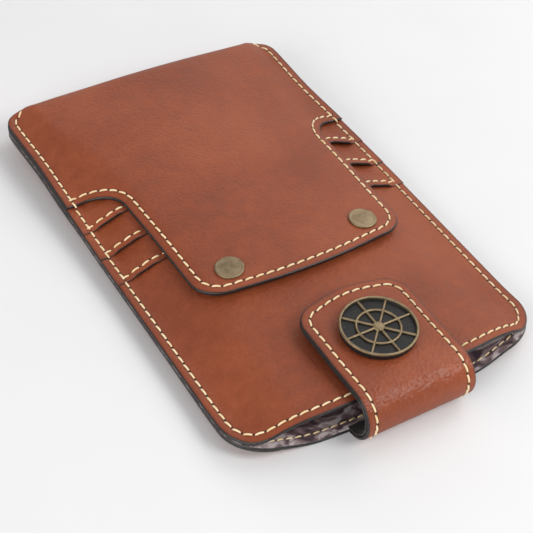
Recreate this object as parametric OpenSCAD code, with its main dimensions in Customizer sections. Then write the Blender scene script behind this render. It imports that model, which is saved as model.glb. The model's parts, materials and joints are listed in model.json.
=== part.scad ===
// Phone wallet case: a leather sleeve with a folded far end, three card pockets under a snapped
// flap, and a strap that wraps round the mouth and closes on a magnet under a round medallion.
// The sleeve lies on its back. +Z is up, +Y runs from the mouth to the folded end, and the
// origin is the middle of the flat back face.

/* [Sleeve] */
// Width over the side seams
body_w = 114; // [108:1:120]
// Length from the mouth to the folded end
body_l = 175; // [170:1:184]
// Height of the flap above the back face
flap_top = 16.8; // [16.4:0.1:18]
// Width of the flat seam margin
margin_w = 5; // [4:0.5:7]
// Distance of each thread line from its edge
stitch_inset = 3; // [2.4:0.1:3.4]

/* [Leather] */
// Thickness of the outer leather
skin_t = 1.2; // [1:0.1:1.3]
// Thickness of the printed lining
lining_t = 0.4; // [0.3:0.1:0.5]
// Thickness of one card pocket
pocket_t = 0.5; // [0.4:0.05:0.6]

/* [Flap] */
// Half width of the tongue at its root
tongue_root = 40.5; // [38:0.5:42]
// Half width of the tongue at its tip
tongue_tip = 39.6; // [36:0.5:41]
// Where the shoulders leave the side seams
shoulder_y = 34; // [32:0.5:38]
// Where the tip of the tongue lies
tip_y = -33.5; // [-36:0.5:-32]
// Distance from one card pocket to the next
pocket_step = 12.8; // [11:0.1:14]

/* [Strap] */
// Width of the strap
strap_w = 40; // [36:1:46]
// Where the tip of the strap lies
strap_tip_y = -47.5; // [-50:0.5:-45]
// Height of the outside of the strap
strap_top = 18.4; // [18.2:0.1:19.4]

/* [Fittings] */
// Diameter of the two flap snap caps
cap_d = 9.8; // [9:0.1:11]
// Diameter of the medallion
medallion_d = 25; // [22:0.5:27]

/* [Hidden] */
$fn = 48;

tan_leather = [0.62, 0.30, 0.17];
dark_leather = [0.12, 0.11, 0.11];
print_cloth = [0.45, 0.38, 0.37];
old_brass = [0.50, 0.43, 0.28];
black_enamel = [0.08, 0.08, 0.08];
cream_thread = [0.92, 0.83, 0.65];
nickel = [0.75, 0.75, 0.74];

half_w = body_w / 2;
far_y = body_l / 2;
mouth_y = -body_l / 2;
clear = 0.1;

// Heights of each surface on the seam margin, from the back outwards.
back_margin = 3.4;
seam_z = back_margin + 1.3;
front_margin = seam_z + 0.3;
pocket_margin = front_margin + 1.3;
pocket_margin_t = 0.3;
flap_margin = pocket_margin + 3 * pocket_margin_t + 0.2;
flap_margin_t = 0.9;

// Heights of each surface over the middle of the sleeve.
flap_under = flap_top - skin_t;
flap_lining_under = flap_under - lining_t;
pocket_top = flap_lining_under - 0.2;
card_top = pocket_top - 3 * pocket_t;
front_under = card_top - skin_t;
cavity_top = front_under - lining_t;

// The folded end is an ellipse about fold_y. The sides rise over slope_w inside the margin.
fold_r = 8;
fold_y = far_y - fold_r;
slope_w = 18;
back_slope_w = 13;
crown = 1.5;
section_steps = 8;
fold_steps = 6;

function smooth_rise(t) = 0.5 * t + 0.25 * (1 - cos(180 * t));
function arc(c, r, a0, a1, n) =
    [for (i = [0:n]) let (a = a0 + (a1 - a0) * i / n) [c[0] + r * cos(a), c[1] + r * sin(a)]];
function mirrored(pts) = [for (i = [len(pts) - 1:-1:0]) [-pts[i][0], pts[i][1]]];

crown_x = half_w - margin_w - slope_w;
function crown_drop(x) = crown * pow(x / crown_x, 2);
// Half of the section across the width: the margin, the slope up and the crowned middle.
function upper_section(margin, middle) = concat(
    [[body_w, margin]],
    [for (i = [0:section_steps]) let (t = i / section_steps)
        [half_w - margin_w - slope_w * t, margin + (middle - crown - margin) * smooth_rise(t)]],
    [for (x = [32, 20, 10, 0]) [x, middle - crown_drop(x)]]);
function lower_section(margin, middle) = concat(
    [[body_w, margin]],
    [for (i = [0:section_steps]) let (t = i / section_steps)
        [half_w - margin_w - back_slope_w * t, margin + (middle - margin) * smooth_rise(t)]]);
// Section along the length: the height at the mouth, over the cards, and round the folded end.
function roll(middle, inset) = [for (i = [0:fold_steps]) let (a = 90 * i / fold_steps)
    [fold_y + (fold_r - inset) * sin(a), seam_z + (middle - seam_z) * cos(a)]];

module sweep_length(pts) {
    translate([0, far_y + 30, 0]) rotate([90, 0, 0]) linear_extrude(body_l + 60) polygon(pts);
}
module sweep_width(pts) {
    translate([-body_w, 0, 0]) rotate([90, 0, 90]) linear_extrude(2 * body_w) polygon(pts);
}
// Everything between the seam plane and one upper surface.
module below(margin, middle, inset) {
    half = upper_section(margin, middle + 0.1);
    intersection() {
        sweep_length(concat([[body_w, seam_z]], half, mirrored(half), [[-body_w, seam_z]]));
        sweep_width(concat([[mouth_y - 25, seam_z], [mouth_y - 25, middle]], roll(middle, inset)));
    }
}
// Everything between one lower surface and the seam plane.
module above(margin, middle, inset) {
    half = lower_section(margin, middle);
    intersection() {
        sweep_length(concat([[body_w, seam_z]], half, mirrored(half), [[-body_w, seam_z]]));
        sweep_width(concat([[mouth_y - 25, seam_z], [mouth_y - 25, middle]], roll(middle, inset)));
    }
}

// Plan outlines.
far_r = 9;
mouth_r = 14;
mouth_crown = 2.6;
function crowned_edge(x, y, drop, n) =
    [for (i = [1 - n:n - 1]) let (u = i / n) [x * u, y - drop * (1 - u * u)]];
function sleeve_outline(setback) = let (y = mouth_y + setback + mouth_crown) concat(
    arc([half_w - far_r, far_y - far_r], far_r, 0, 90, 6),
    arc([far_r - half_w, far_y - far_r], far_r, 90, 180, 6),
    arc([mouth_r - half_w, y + mouth_r], mouth_r, 180, 270, 7),
    crowned_edge(half_w - mouth_r, y, mouth_crown, 5),
    arc([half_w - mouth_r, y + mouth_r], mouth_r, 270, 360, 7));
shoulder_r = 12;
tip_r = 11;
tip_crown = 2.4;
function flap_half(inset) = let (tip = tip_y + inset + tip_crown) concat(
    arc([tongue_root + shoulder_r, shoulder_y - shoulder_r], shoulder_r + inset, 90, 180, 7),
    arc([tongue_tip - tip_r, tip + tip_r - inset], tip_r - inset, 0, -84, 6),
    [for (u = [0.6, 0.3, 0]) [(tongue_tip - tip_r) * u, tip - tip_crown * (1 - u * u)]]);
function flap_outline(inset) = let (half = flap_half(inset), edge = half[0][1]) concat(
    [[body_w, far_y + 5], [body_w, edge]], half, mirrored(half), [[-body_w, edge], [-body_w, far_y + 5]]);

module prism(pts) {
    translate([0, 0, -1]) linear_extrude(40) polygon(pts);
}
module slab(y0, y1) {
    translate([-body_w, y0, -1]) cube([2 * body_w, y1 - y0, 40]);
}

// The tongue bends up about a line on the outside of the flap.
hinge_y = 30;
snap_x = 25.8;
snap_y = -22;
post_r = 1.4;
// A snap stands square to the facet of the crowned flap that it sits on, and z = 0 is the flap.
snap_tilt = atan((crown_drop(32) - crown_drop(20)) / 12);
snap_drop = 0.1 - crown_drop(20) - (snap_x - 20) * tan(snap_tilt);
module at_snap(s) {
    translate([s * snap_x, snap_y, flap_top + snap_drop]) rotate([0, s * snap_tilt, 0]) children();
}
module snap_holes(r) {
    for (s = [-1, 1]) at_snap(s) translate([0, 0, -12]) cylinder(r = r, h = 24);
}
module flap_skin(inset) {
    intersection() {
        difference() {
            below(flap_margin + flap_margin_t, flap_top, 0);
            below(flap_margin, flap_under, skin_t);
        }
        prism(flap_outline(inset));
        prism(sleeve_outline(0));
    }
}
module flap_inside(inset) {
    intersection() {
        difference() {
            below(flap_margin, flap_under, skin_t);
            below(flap_margin - 0.2, flap_lining_under, skin_t + lining_t);
        }
        prism(flap_outline(inset));
        prism(sleeve_outline(0));
    }
}

// The strap leaves the back face, turns round strap_c and runs back over the front.
strap_c = [mouth_y + 1.9, strap_top / 2];
strap_r = strap_top / 2;
strap_skin = 1.25;
strap_lining = 1.15;
strap_tip_r = 7;
strap_tip_crown = 1.8;
bend_steps = 10;
medallion_y = -68.5;
function ring_sector(r0, r1, a0, a1, n) = concat(
    arc(strap_c, r1, a0, a1, n), arc(strap_c, r0, a1, a0, n));
module strap_sweep(pts, w) {
    translate([-w / 2, 0, 0]) rotate([90, 0, 90]) linear_extrude(w) polygon(pts);
}
function strap_outline(inset) =
    let (w = strap_w / 2 - inset, y = strap_tip_y - inset - strap_tip_crown) concat(
    [[w, mouth_y - 20]],
    arc([w - strap_tip_r + inset, y - strap_tip_r + inset], strap_tip_r - inset, 0, 84, 5),
    [for (u = [0.5, 0, -0.5]) [w * u, y + strap_tip_crown * (1 - u * u)]],
    arc([strap_tip_r - inset - w, y - strap_tip_r + inset], strap_tip_r - inset, 96, 180, 5),
    [[-w, mouth_y - 20]]);
// Angles round strap_c: 270 is the back face, 180 faces out of the mouth and 90 is the front.
bend_low = 225;
bend_high = 135;
bend_gap = 0.7;

module back_panel() color(tan_leather) {
    intersection() {
        difference() {
            above(back_margin, 0, 0);
            above(seam_z - 0.001, skin_t, skin_t);
        }
        prism(sleeve_outline(0));
    }
    strap_arc(strap_r - strap_skin, strap_r, 270, bend_low + bend_gap);
}
// The lining is notched round the root of the strap.
module back_lining() color(print_cloth) difference() {
    intersection() {
        above(seam_z, skin_t + 0.02, skin_t + 0.02);
        prism(sleeve_outline(0));
    }
    above(seam_z + 0.001, skin_t + lining_t, skin_t + lining_t);
    translate([-strap_w / 2 - 0.3, mouth_y - 5, 0]) cube([strap_w + 0.6, 7.2, 10]);
}
module front_panel() color(tan_leather) difference() {
    intersection() {
        difference() {
            below(pocket_margin, card_top, skin_t + lining_t + 0.5);
            below(front_margin, front_under, 2 * skin_t + lining_t + 0.5);
        }
        prism(sleeve_outline(1));
    }
    snap_holes(post_r + clear);
    for (s = [-1, 1]) at_snap(s) translate([0, 0, front_under - flap_top - 3])
        cylinder(r = post_head_r + clear, h = 3.4);
    translate([0, medallion_y, 0]) cylinder(r = magnet_neck_r + clear, h = 40);
    translate([0, medallion_y, front_under - 3]) cylinder(r = 7 + clear, h = 3.4);
}
module front_lining() color(print_cloth) intersection() {
    difference() {
        below(front_margin, front_under, 2 * skin_t + lining_t + 0.5);
        below(seam_z + 0.02, cavity_top, 2 * skin_t + 2 * lining_t + 0.5);
    }
    prism(sleeve_outline(1));
}
module flap_panel() color(tan_leather) intersection() {
    flap_skin(0);
    slab(hinge_y + clear, far_y + 1);
}
module flap_lining() color(dark_leather) intersection() {
    flap_inside(0.4);
    slab(hinge_y + clear, far_y + 1);
}

// Pocket 0 is the one nearest the flap. Each lies one leather higher than the next.
function pocket_edge(i) = shoulder_y - pocket_step * (i + 1);
function pocket_roof(i) = pocket_top - pocket_t * i;
function pocket_side(i) = flap_margin - 0.2 - pocket_margin_t * i;
pocket_gap = 0.05;
module pocket_layer(i) {
    roof = pocket_roof(i);
    floor_z = roof - pocket_t + pocket_gap;
    difference() {
        below(pocket_side(i), roof, skin_t + lining_t + 0.1);
        below(pocket_side(i) - pocket_margin_t + 0.02, floor_z, skin_t + lining_t + 0.3);
    }
}
module card_pocket(i) color(tan_leather) intersection() {
    pocket_layer(i);
    prism(sleeve_outline(0));
    slab(pocket_edge(i), fold_y - 0.5);
}
module flap_tongue() color(tan_leather) difference() {
    intersection() {
        flap_skin(0);
        slab(tip_y - 5, hinge_y - clear);
    }
    snap_holes(post_r + clear);
}
module tongue_lining() color(dark_leather) difference() {
    intersection() {
        flap_inside(0.4);
        slab(tip_y - 5, hinge_y - clear);
    }
    snap_holes(post_r + clear);
}

// Strap: the band is the middle of the bend, the tab is the rest up to the tip.
module strap_arc(r0, r1, a0, a1) {
    strap_sweep(ring_sector(r0, r1, a0, a1, bend_steps), strap_w);
}
module strap_root_lining() color(dark_leather)
    strap_arc(strap_r - strap_skin - strap_lining, strap_r - strap_skin - 0.05, 262, bend_low + bend_gap);
module strap_band() color(tan_leather)
    strap_arc(strap_r - strap_skin, strap_r, bend_low - bend_gap, bend_high + bend_gap);
module strap_band_lining() color(dark_leather)
    strap_arc(strap_r - strap_skin - strap_lining, strap_r - strap_skin - 0.02,
        bend_low - bend_gap, bend_high + bend_gap);
module tab_layer(r0, r1, inset, hole_r) {
    difference() {
        intersection() {
            strap_sweep(concat(arc(strap_c, r1, bend_high - bend_gap, 90, bend_steps),
                [[strap_tip_y + 2, strap_c[1] + r1], [strap_tip_y + 2, strap_c[1] + r0]],
                arc(strap_c, r0, 90, bend_high - bend_gap, bend_steps)), strap_w);
            prism(strap_outline(inset));
        }
        translate([0, medallion_y, 0]) cylinder(r = hole_r, h = 40);
    }
}
module strap_tab() color(tan_leather)
    tab_layer(strap_r - strap_skin, strap_r, 0, magnet_neck_r + clear);
module strap_tab_lining() color(dark_leather)
    tab_layer(strap_r - strap_skin - strap_lining, strap_r - strap_skin - 0.02, 0, magnet_neck_r + clear);

// Flap snaps: cap and socket on the tongue, stud and post on the front panel. Heights are in
// the snap's own frame, counted from the outside of the flap.
cap_h = 1.1;
socket_r = 4.4;
socket_bore = 2.2;
stud_r = 1.8;
post_head_r = 3.6;
tongue_low = flap_lining_under - flap_top;
panel_high = card_top - flap_top;
panel_low = front_under - flap_top;
module snap_cap(s) color(old_brass) at_snap(s) {
    translate([0, 0, 0.02]) rotate_extrude() polygon(concat([[0, 0], [cap_d / 2, 0], [cap_d / 2, 0.35]],
        [for (i = [1:5]) [cap_d / 2 - 0.5 * sin(18 * i), 0.35 + 0.45 * (1 - cos(18 * i))]], [[0, cap_h]]));
    translate([0, 0, tongue_low - 0.15]) cylinder(r = post_r, h = 0.4 - tongue_low);
}
module snap_socket(s) color(nickel) at_snap(s) translate([0, 0, tongue_low]) difference() {
    union() {
        translate([0, 0, -0.4]) cylinder(r = socket_r, h = 0.38);
        translate([0, 0, -1.1]) cylinder(r = socket_r - 1, h = 0.8);
    }
    translate([0, 0, -3]) cylinder(r = socket_bore, h = 2.8);
    translate([0, 0, -3]) cylinder(r = post_r + 0.05, h = 6);
}
module snap_stud(s) color(nickel) at_snap(s) translate([0, 0, panel_high]) difference() {
    union() {
        translate([0, 0, 0.02]) cylinder(r = 3.3, h = 0.25);
        translate([0, 0, 0.02]) cylinder(r = stud_r, h = 1.3);
    }
    translate([0, 0, -1]) cylinder(r = 0.75, h = 3);
}
module snap_post(s) color(nickel) at_snap(s) translate([0, 0, panel_low]) {
    translate([0, 0, 0.02]) cylinder(r = post_head_r, h = 0.3);
    translate([0, 0, 0.1]) cylinder(r = 0.7, h = skin_t + 0.8);
}

// Magnetic closure under the medallion: two discs, each held by a necked washer behind the leather.
magnet_r = 9;
magnet_neck_r = 2.6;
magnet_socket_top = 15.1;
magnet_face = strap_top - strap_skin - strap_lining;
module magnet_socket() color(old_brass) translate([0, medallion_y, 0]) difference() {
    translate([0, 0, card_top + 0.02]) cylinder(r = magnet_r, h = magnet_socket_top - card_top - 0.02);
    translate([0, 0, card_top + 0.5]) cylinder(r = 2.9, h = 5);
}
module magnet_socket_washer() color(nickel) translate([0, medallion_y, 0]) {
    translate([0, 0, front_under + 0.02]) cylinder(r = magnet_neck_r, h = skin_t - 0.02);
    translate([0, 0, front_under + 0.02]) cylinder(r = 7, h = 0.3);
}
module magnet_stud() color(old_brass) translate([0, medallion_y, 0]) {
    translate([0, 0, magnet_socket_top + 0.1])
        cylinder(r = magnet_r, h = magnet_face - magnet_socket_top - 0.12);
    translate([0, 0, magnet_socket_top - 0.6]) cylinder(r = 2.2, h = 1);
}
module magnet_stud_washer() color(nickel) translate([0, medallion_y, magnet_face])
    cylinder(r = magnet_neck_r, h = strap_skin + strap_lining - 0.02);

// Medallion: a black dished body with a raised brass rim, eight plain spokes, a ring and a boss.
medallion_h = 2.8;
rim_w = 1.1;
ground_h = 1.9;
bar_w = 0.8;
bar_h = 0.6;
module medallion_ring(d) {
    difference() {
        cylinder(d = d, h = bar_h, $fn = 64);
        translate([0, 0, -1]) cylinder(d = d - 2 * bar_w, h = 5, $fn = 64);
    }
}
module medallion_body() color(black_enamel) translate([0, medallion_y, strap_top + 0.02]) {
    cylinder(r1 = medallion_d / 2 - 0.9, r2 = medallion_d / 2 - 0.2, h = 1, $fn = 64);
    translate([0, 0, 1]) cylinder(d = medallion_d - 0.4, h = ground_h - 1, $fn = 64);
}
module medallion_relief() color(old_brass)
    translate([0, medallion_y, strap_top + 0.02 + ground_h]) {
        difference() {
            cylinder(d = medallion_d, h = medallion_h - ground_h, $fn = 64);
            translate([0, 0, -1]) cylinder(d = medallion_d - 2 * rim_w, h = 5, $fn = 64);
        }
        medallion_ring(medallion_d * 0.56);
        cylinder(r = 1.9, h = bar_h + 0.1, $fn = 32);
        for (a = [0:45:135]) rotate([0, 0, a]) translate([rim_w / 2 - medallion_d / 2, -bar_w / 2, 0])
            cube([medallion_d - rim_w, bar_w, bar_h]);
    }

// Threads are drawn as low ribs, proud of the leather by thread_h.
thread_w = 0.7;
thread_h = 0.25;
side_x = half_w - stitch_inset;
module rib_outline(outer, inner) {
    difference() {
        prism(outer);
        prism(inner);
    }
}
// The side seam steps down past each card pocket and turns in round the folded end.
module side_thread(s) color(cream_thread) {
    flap_z = flap_margin + flap_margin_t;
    levels = [for (i = [0:2]) pocket_side(i)];
    ends = concat([shoulder_y], [for (i = [0:2]) pocket_edge(i)], [mouth_y + mouth_crown + mouth_r]);
    tops = concat(levels, [pocket_margin]);
    for (i = [0:3])
        translate([s * side_x - thread_w / 2, ends[i + 1] + 0.2, tops[i] + 0.01])
            cube([thread_w, ends[i] - ends[i + 1] - 0.4, thread_h]);
    translate([s * side_x - thread_w / 2, shoulder_y + 0.2, flap_z + 0.01])
        cube([thread_w, far_y - far_r - shoulder_y - 0.2, thread_h]);
    translate([s * side_x - thread_w / 2, mouth_y + mouth_crown + mouth_r, back_margin - thread_h - 0.01])
        cube([thread_w, body_l - mouth_crown - mouth_r - far_r, thread_h]);
}
module front_rib(setback, roof_margin, middle) {
    intersection() {
        difference() {
            below(roof_margin + thread_h, middle + thread_h, 2);
            below(roof_margin + 0.01, middle + 0.01, 2);
        }
        rib_outline(sleeve_inset(setback, stitch_inset - thread_w / 2),
            sleeve_inset(setback, stitch_inset + thread_w / 2));
        slab(mouth_y - 5, mouth_y + mouth_crown + mouth_r - 0.2);
    }
}
function sleeve_inset(setback, d) =
    let (y = mouth_y + setback + mouth_crown + d, x = half_w - mouth_r) concat(
    [[half_w - d, 0], [d - half_w, 0]],
    arc([-x, y + mouth_r - d], mouth_r - d, 180, 270, 7),
    crowned_edge(x, y, mouth_crown, 5),
    arc([x, y + mouth_r - d], mouth_r - d, 270, 360, 7));
module mouth_thread_front() color(cream_thread) front_rib(1, pocket_margin, card_top);
module mouth_thread_back() color(cream_thread) intersection() {
    difference() {
        above(seam_z + 0.003, skin_t + lining_t + 0.01, skin_t + lining_t);
        above(seam_z + 0.004, skin_t + lining_t + thread_h, skin_t + lining_t);
    }
    rib_outline(sleeve_inset(0, stitch_inset - thread_w / 2), sleeve_inset(0, stitch_inset + thread_w / 2));
    for (s = [-1, 1]) translate([s * 32 - 9, mouth_y - 5, 0]) cube([18, 20, 4]);
}
module pocket_thread(i) color(cream_thread) intersection() {
    difference() {
        below(pocket_side(i) + thread_h, pocket_roof(i) + 0.14, 3);
        below(pocket_side(i) + 0.01, pocket_roof(i) + 0.01, 3);
    }
    slab(pocket_edge(i) + stitch_inset - thread_w / 2, pocket_edge(i) + stitch_inset + thread_w / 2);
    for (s = [-1, 1]) translate([s * (tongue_root + 6.2) - 6.5, -40, 0]) cube([13, 100, 30]);
}
module flap_rib() {
    intersection() {
        difference() {
            below(flap_margin + flap_margin_t + thread_h, flap_top + thread_h, 0);
            below(flap_margin + flap_margin_t + 0.01, flap_top + 0.01, 0);
        }
        rib_outline(flap_outline(stitch_inset - thread_w / 2), flap_outline(stitch_inset + thread_w / 2));
        translate([-side_x + 0.5, tip_y - 5, 0]) cube([2 * side_x - 1, 80, 40]);
    }
}
module flap_thread() color(cream_thread) intersection() {
    flap_rib();
    slab(hinge_y + clear, far_y);
}
module tongue_thread() color(cream_thread) intersection() {
    flap_rib();
    slab(tip_y - 5, hinge_y - clear);
}
module strap_band_thread() color(cream_thread)
    for (s = [-1, 1]) translate([s * (strap_w / 2 - stitch_inset), 0, 0])
        strap_sweep(ring_sector(strap_r + 0.01, strap_r + thread_h,
            bend_low - bend_gap, bend_high + bend_gap, bend_steps), thread_w);
module strap_tab_thread() color(cream_thread) difference() {
    intersection() {
        strap_sweep(concat(arc(strap_c, strap_r + thread_h, bend_high - bend_gap, 90, bend_steps),
            [[strap_tip_y + 2, strap_c[1] + strap_r + thread_h],
                [strap_tip_y + 2, strap_c[1] + strap_r + 0.01]],
            arc(strap_c, strap_r + 0.01, 90, bend_high - bend_gap, bend_steps)), strap_w);
        prism(strap_outline(stitch_inset - thread_w / 2));
    }
    prism(strap_outline(stitch_inset + thread_w / 2));
}

back_panel();
back_lining();
front_panel();
front_lining();
flap_panel();
flap_lining();
card_pocket(0);  // card_pocket_upper
card_pocket(1);  // card_pocket_middle
card_pocket(2);  // card_pocket_lower
flap_tongue();
tongue_lining();
strap_root_lining();
strap_band();
strap_band_lining();
strap_tab();
strap_tab_lining();
snap_cap(-1);  // snap_cap_left
snap_cap(1);  // snap_cap_right
snap_socket(-1);  // snap_socket_left
snap_socket(1);  // snap_socket_right
snap_stud(-1);  // snap_stud_left
snap_stud(1);  // snap_stud_right
snap_post(-1);  // snap_post_left
snap_post(1);  // snap_post_right
magnet_socket();
magnet_socket_washer();
magnet_stud();
magnet_stud_washer();
medallion_body();
medallion_relief();
side_thread(-1);  // side_thread_left
side_thread(1);  // side_thread_right
mouth_thread_front();
mouth_thread_back();
pocket_thread(0);  // pocket_thread_upper
pocket_thread(1);  // pocket_thread_middle
pocket_thread(2);  // pocket_thread_lower
flap_thread();
tongue_thread();
strap_band_thread();
strap_tab_thread();
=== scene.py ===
import json
import math
from types import SimpleNamespace

import bmesh
import bpy
import numpy as np
from bpy.props import FloatProperty, FloatVectorProperty, IntProperty, PointerProperty
from mathutils import Matrix, Vector
from mathutils.geometry import delaunay_2d_cdt


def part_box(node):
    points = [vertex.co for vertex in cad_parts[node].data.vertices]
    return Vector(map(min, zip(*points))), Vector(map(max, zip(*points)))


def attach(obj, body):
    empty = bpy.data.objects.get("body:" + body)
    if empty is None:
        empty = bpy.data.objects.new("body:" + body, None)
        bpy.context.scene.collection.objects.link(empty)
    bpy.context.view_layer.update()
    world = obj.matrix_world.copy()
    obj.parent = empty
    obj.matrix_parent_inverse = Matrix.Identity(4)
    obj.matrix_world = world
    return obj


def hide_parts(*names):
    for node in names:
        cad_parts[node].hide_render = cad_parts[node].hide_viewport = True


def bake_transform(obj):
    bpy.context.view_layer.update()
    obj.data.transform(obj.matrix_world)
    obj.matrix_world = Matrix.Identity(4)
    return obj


bl_info = {
    "name": "Phone Wallet Case",
    "version": (1, 0, 0),
    "blender": (4, 5, 0),
    "location": "View3D > Sidebar > Wallet Case",
    "description": "Dresses the frame of a phone wallet in leather, lining cloth, thread and brass",
    "category": "Object",
}

# The frame gives the places and the sizes that the pieces are worked out from.
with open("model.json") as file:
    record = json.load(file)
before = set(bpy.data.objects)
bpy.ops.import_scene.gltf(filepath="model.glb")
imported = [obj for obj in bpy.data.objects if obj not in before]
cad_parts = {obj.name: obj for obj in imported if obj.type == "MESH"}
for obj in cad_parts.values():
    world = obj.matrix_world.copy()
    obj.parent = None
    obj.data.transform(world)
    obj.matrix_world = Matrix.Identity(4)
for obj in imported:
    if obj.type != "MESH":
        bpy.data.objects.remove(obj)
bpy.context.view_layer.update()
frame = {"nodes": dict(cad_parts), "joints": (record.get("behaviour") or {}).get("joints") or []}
MM = 0.001
HINGES = {joint["name"]: joint for joint in frame["joints"]}


def lowest(node, axis):
    """The lowest point of a frame node along an axis, in metres."""
    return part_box(node)[0]["xyz".index(axis)]


def highest(node, axis):
    """The highest point of a frame node along an axis, in metres."""
    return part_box(node)[1]["xyz".index(axis)]


def middle(node, axis):
    """The middle of a frame node along an axis, in metres."""
    return (lowest(node, axis) + highest(node, axis)) / 2


# ---------------------------------------------------------------- settings


def length_setting(name, description, default):
    """A length that a user may change, in metres."""
    return FloatProperty(name=name, description=description, default=default, unit="LENGTH",
                         subtype="DISTANCE", precision=4)


def colour_setting(name, description, hex_value):
    """A colour that a user may change, given as an sRGB hex value."""
    return FloatVectorProperty(name=name, description=description, subtype="COLOR", size=3,
                               min=0, max=1, default=linear(hex_value))


def linear(hex_value):
    """An sRGB hex value as linear red, green and blue."""
    parts = [int(hex_value[i:i + 2], 16) / 255 for i in (1, 3, 5)]
    return tuple(c / 12.92 if c <= 0.04045 else ((c + 0.055) / 1.055) ** 2.4 for c in parts)


class SleeveSettings(bpy.types.PropertyGroup):
    """Sizes of the sleeve, its layers and the flap."""

    half: length_setting("Half width", "From the middle to a side edge", highest("back_panel", "x"))
    far: length_setting("Far end", "How far back the fold reaches", highest("back_panel", "y"))
    mouth: length_setting("Mouth", "Where the middle of the back's mouth edge lies",
                          -highest("back_panel", "y"))
    margin: length_setting("Seam margin", "Width of the flat margin outside the seam's slope", 0.005)
    slope: length_setting("Front slope", "Width over which the front rises", 0.018)
    back_slope: length_setting("Back slope", "Width over which the back rises to the seam", 0.013)
    crown: length_setting("Crown", "How much the front falls from its middle to its slope", 0.0014)
    fold: length_setting("Fold", "How far the fold rounds off the far end", 0.008)
    corner: length_setting("Far corner", "Radius of the corners of the folded end", 0.008)
    mouth_corner: length_setting("Mouth corner", "Radius of the corners at the mouth", 0.014)
    mouth_crown: length_setting("Mouth crown", "How much the mouth edge bows out", 0.0026)
    seam_rise: length_setting("Seam rise", "How far the seams rise towards the far end", 0.0032)
    sway: length_setting("Sway", "How far the far end leans to the left", 0.0013)
    taper: length_setting("Taper", "How much each side is drawn in towards the far end", 0.0011)
    skin: length_setting("Leather", "Thickness of the outer leather", 0.0012)
    cloth: length_setting("Lining", "Thickness of the linings", 0.0004)
    inset: length_setting("Stitch inset", "From an edge to its line of stitches", 0.003)
    shoulder: length_setting("Shoulder", "Where the flap's shoulders leave the side seams", 0.034)
    shoulder_round: length_setting("Shoulder radius", "Radius of the inside curve of a shoulder", 0.012)
    tongue_root: length_setting("Tongue root", "Half width of the tongue at its root", 0.0405)
    tongue_end: length_setting("Tongue end", "Half width of the tongue near its tip", 0.0396)
    tongue_round: length_setting("Tongue corner", "Radius of the tongue's lower corners", 0.011)
    tongue_bow: length_setting("Tongue bow", "How much the tongue's lower edge bows out", 0.0024)
    slot_step: length_setting("Slot step", "From one card slot to the next", 0.0128)
    slot_lift: length_setting("Slot lift", "How far a card slot's edge stands open", 0.0012)
    mouth_lift: length_setting("Mouth lift", "How far the front's mouth edge stands open", 0.0013)


class StrapSettings(bpy.types.PropertyGroup):
    """Sizes of the strap and the medallion."""

    half: length_setting("Half width", "Half the width of the strap", highest("strap_tab", "x"))
    top: length_setting("Top", "Height of the strap's outside over the front", highest("strap_tab", "z"))
    tip: length_setting("Tip", "Where the strap's tip lies", highest("strap_tab", "y"))
    tip_round: length_setting("Tip corner", "Radius of the corners at the tip", 0.0085)
    tip_bow: length_setting("Tip bow", "How much the tip bows out", 0.0018)
    skin: length_setting("Leather", "Thickness of the outer leather", 0.00125)
    backing: length_setting("Lining", "Thickness of the strap's lining", 0.00115)
    medallion: length_setting("Medallion", "Diameter of the medallion",
                              highest("medallion_relief", "x") - lowest("medallion_relief", "x"))
    cap: length_setting("Snap cap", "Diameter of the flap's snap caps",
                        highest("snap_cap_left", "y") - lowest("snap_cap_left", "y"))


class StitchSettings(bpy.types.PropertyGroup):
    """Sizes of the stitches."""

    pitch: length_setting("Pitch", "From one stitch to the next, about seven to the inch", 0.00365)
    reach: length_setting("Reach", "Visible length of a stitch", 0.0031)
    thread: length_setting("Thread", "Thickness of the thread", 0.00066)
    hole: length_setting("Hole", "Width of a needle hole", 0.00062)
    facets: IntProperty(name="Facets", description="Facets round the thread", default=8, min=3, max=16)


class FinishSettings(bpy.types.PropertyGroup):
    """Colours of the finishes."""

    leather: colour_setting("Leather", "Cognac calf, most of its surface", "#8A4224")
    leather_deep: colour_setting("Leather, deep", "Cognac calf where the dye is strongest", "#7E3B20")
    leather_light: colour_setting("Leather, light", "Cognac calf where the dye is thin", "#964B2B")
    edge: colour_setting("Edge paint", "Black edge paint", "#191615")
    lining_ground: colour_setting("Lining ground", "Ground of the printed lining", "#7E6668")
    lining_print: colour_setting("Lining print", "Light print of the lining", "#C9BCBC")
    lining_dark: colour_setting("Lining dark", "Dark print of the lining", "#43333A")
    backing: colour_setting("Backing", "Dark leather under the flap and the strap", "#211C1A")
    thread: colour_setting("Thread", "Waxed cream thread", "#F1DDB4")
    brass: colour_setting("Brass", "Antique brass where it is rubbed", "#98866A")
    patina: colour_setting("Patina", "Antique brass where it has darkened", "#7C6B52")
    enamel: colour_setting("Black ground", "Blackened ground of the medallion", "#121110")


class CaseSettings(bpy.types.PropertyGroup):
    """All the settings of the wallet case."""

    sleeve: PointerProperty(type=SleeveSettings)
    strap: PointerProperty(type=StrapSettings)
    stitch: PointerProperty(type=StitchSettings)
    finish: PointerProperty(type=FinishSettings)


def in_mm(group):
    """The lengths of a group of settings in millimetres, which the shapes below are worked out in."""
    return SimpleNamespace(**{name: getattr(group, name) / MM for name in group.__annotations__})


def settings():
    """The scene's settings for the case."""
    return bpy.context.scene.wallet_case


# ---------------------------------------------------------------- heights of the layers


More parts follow.
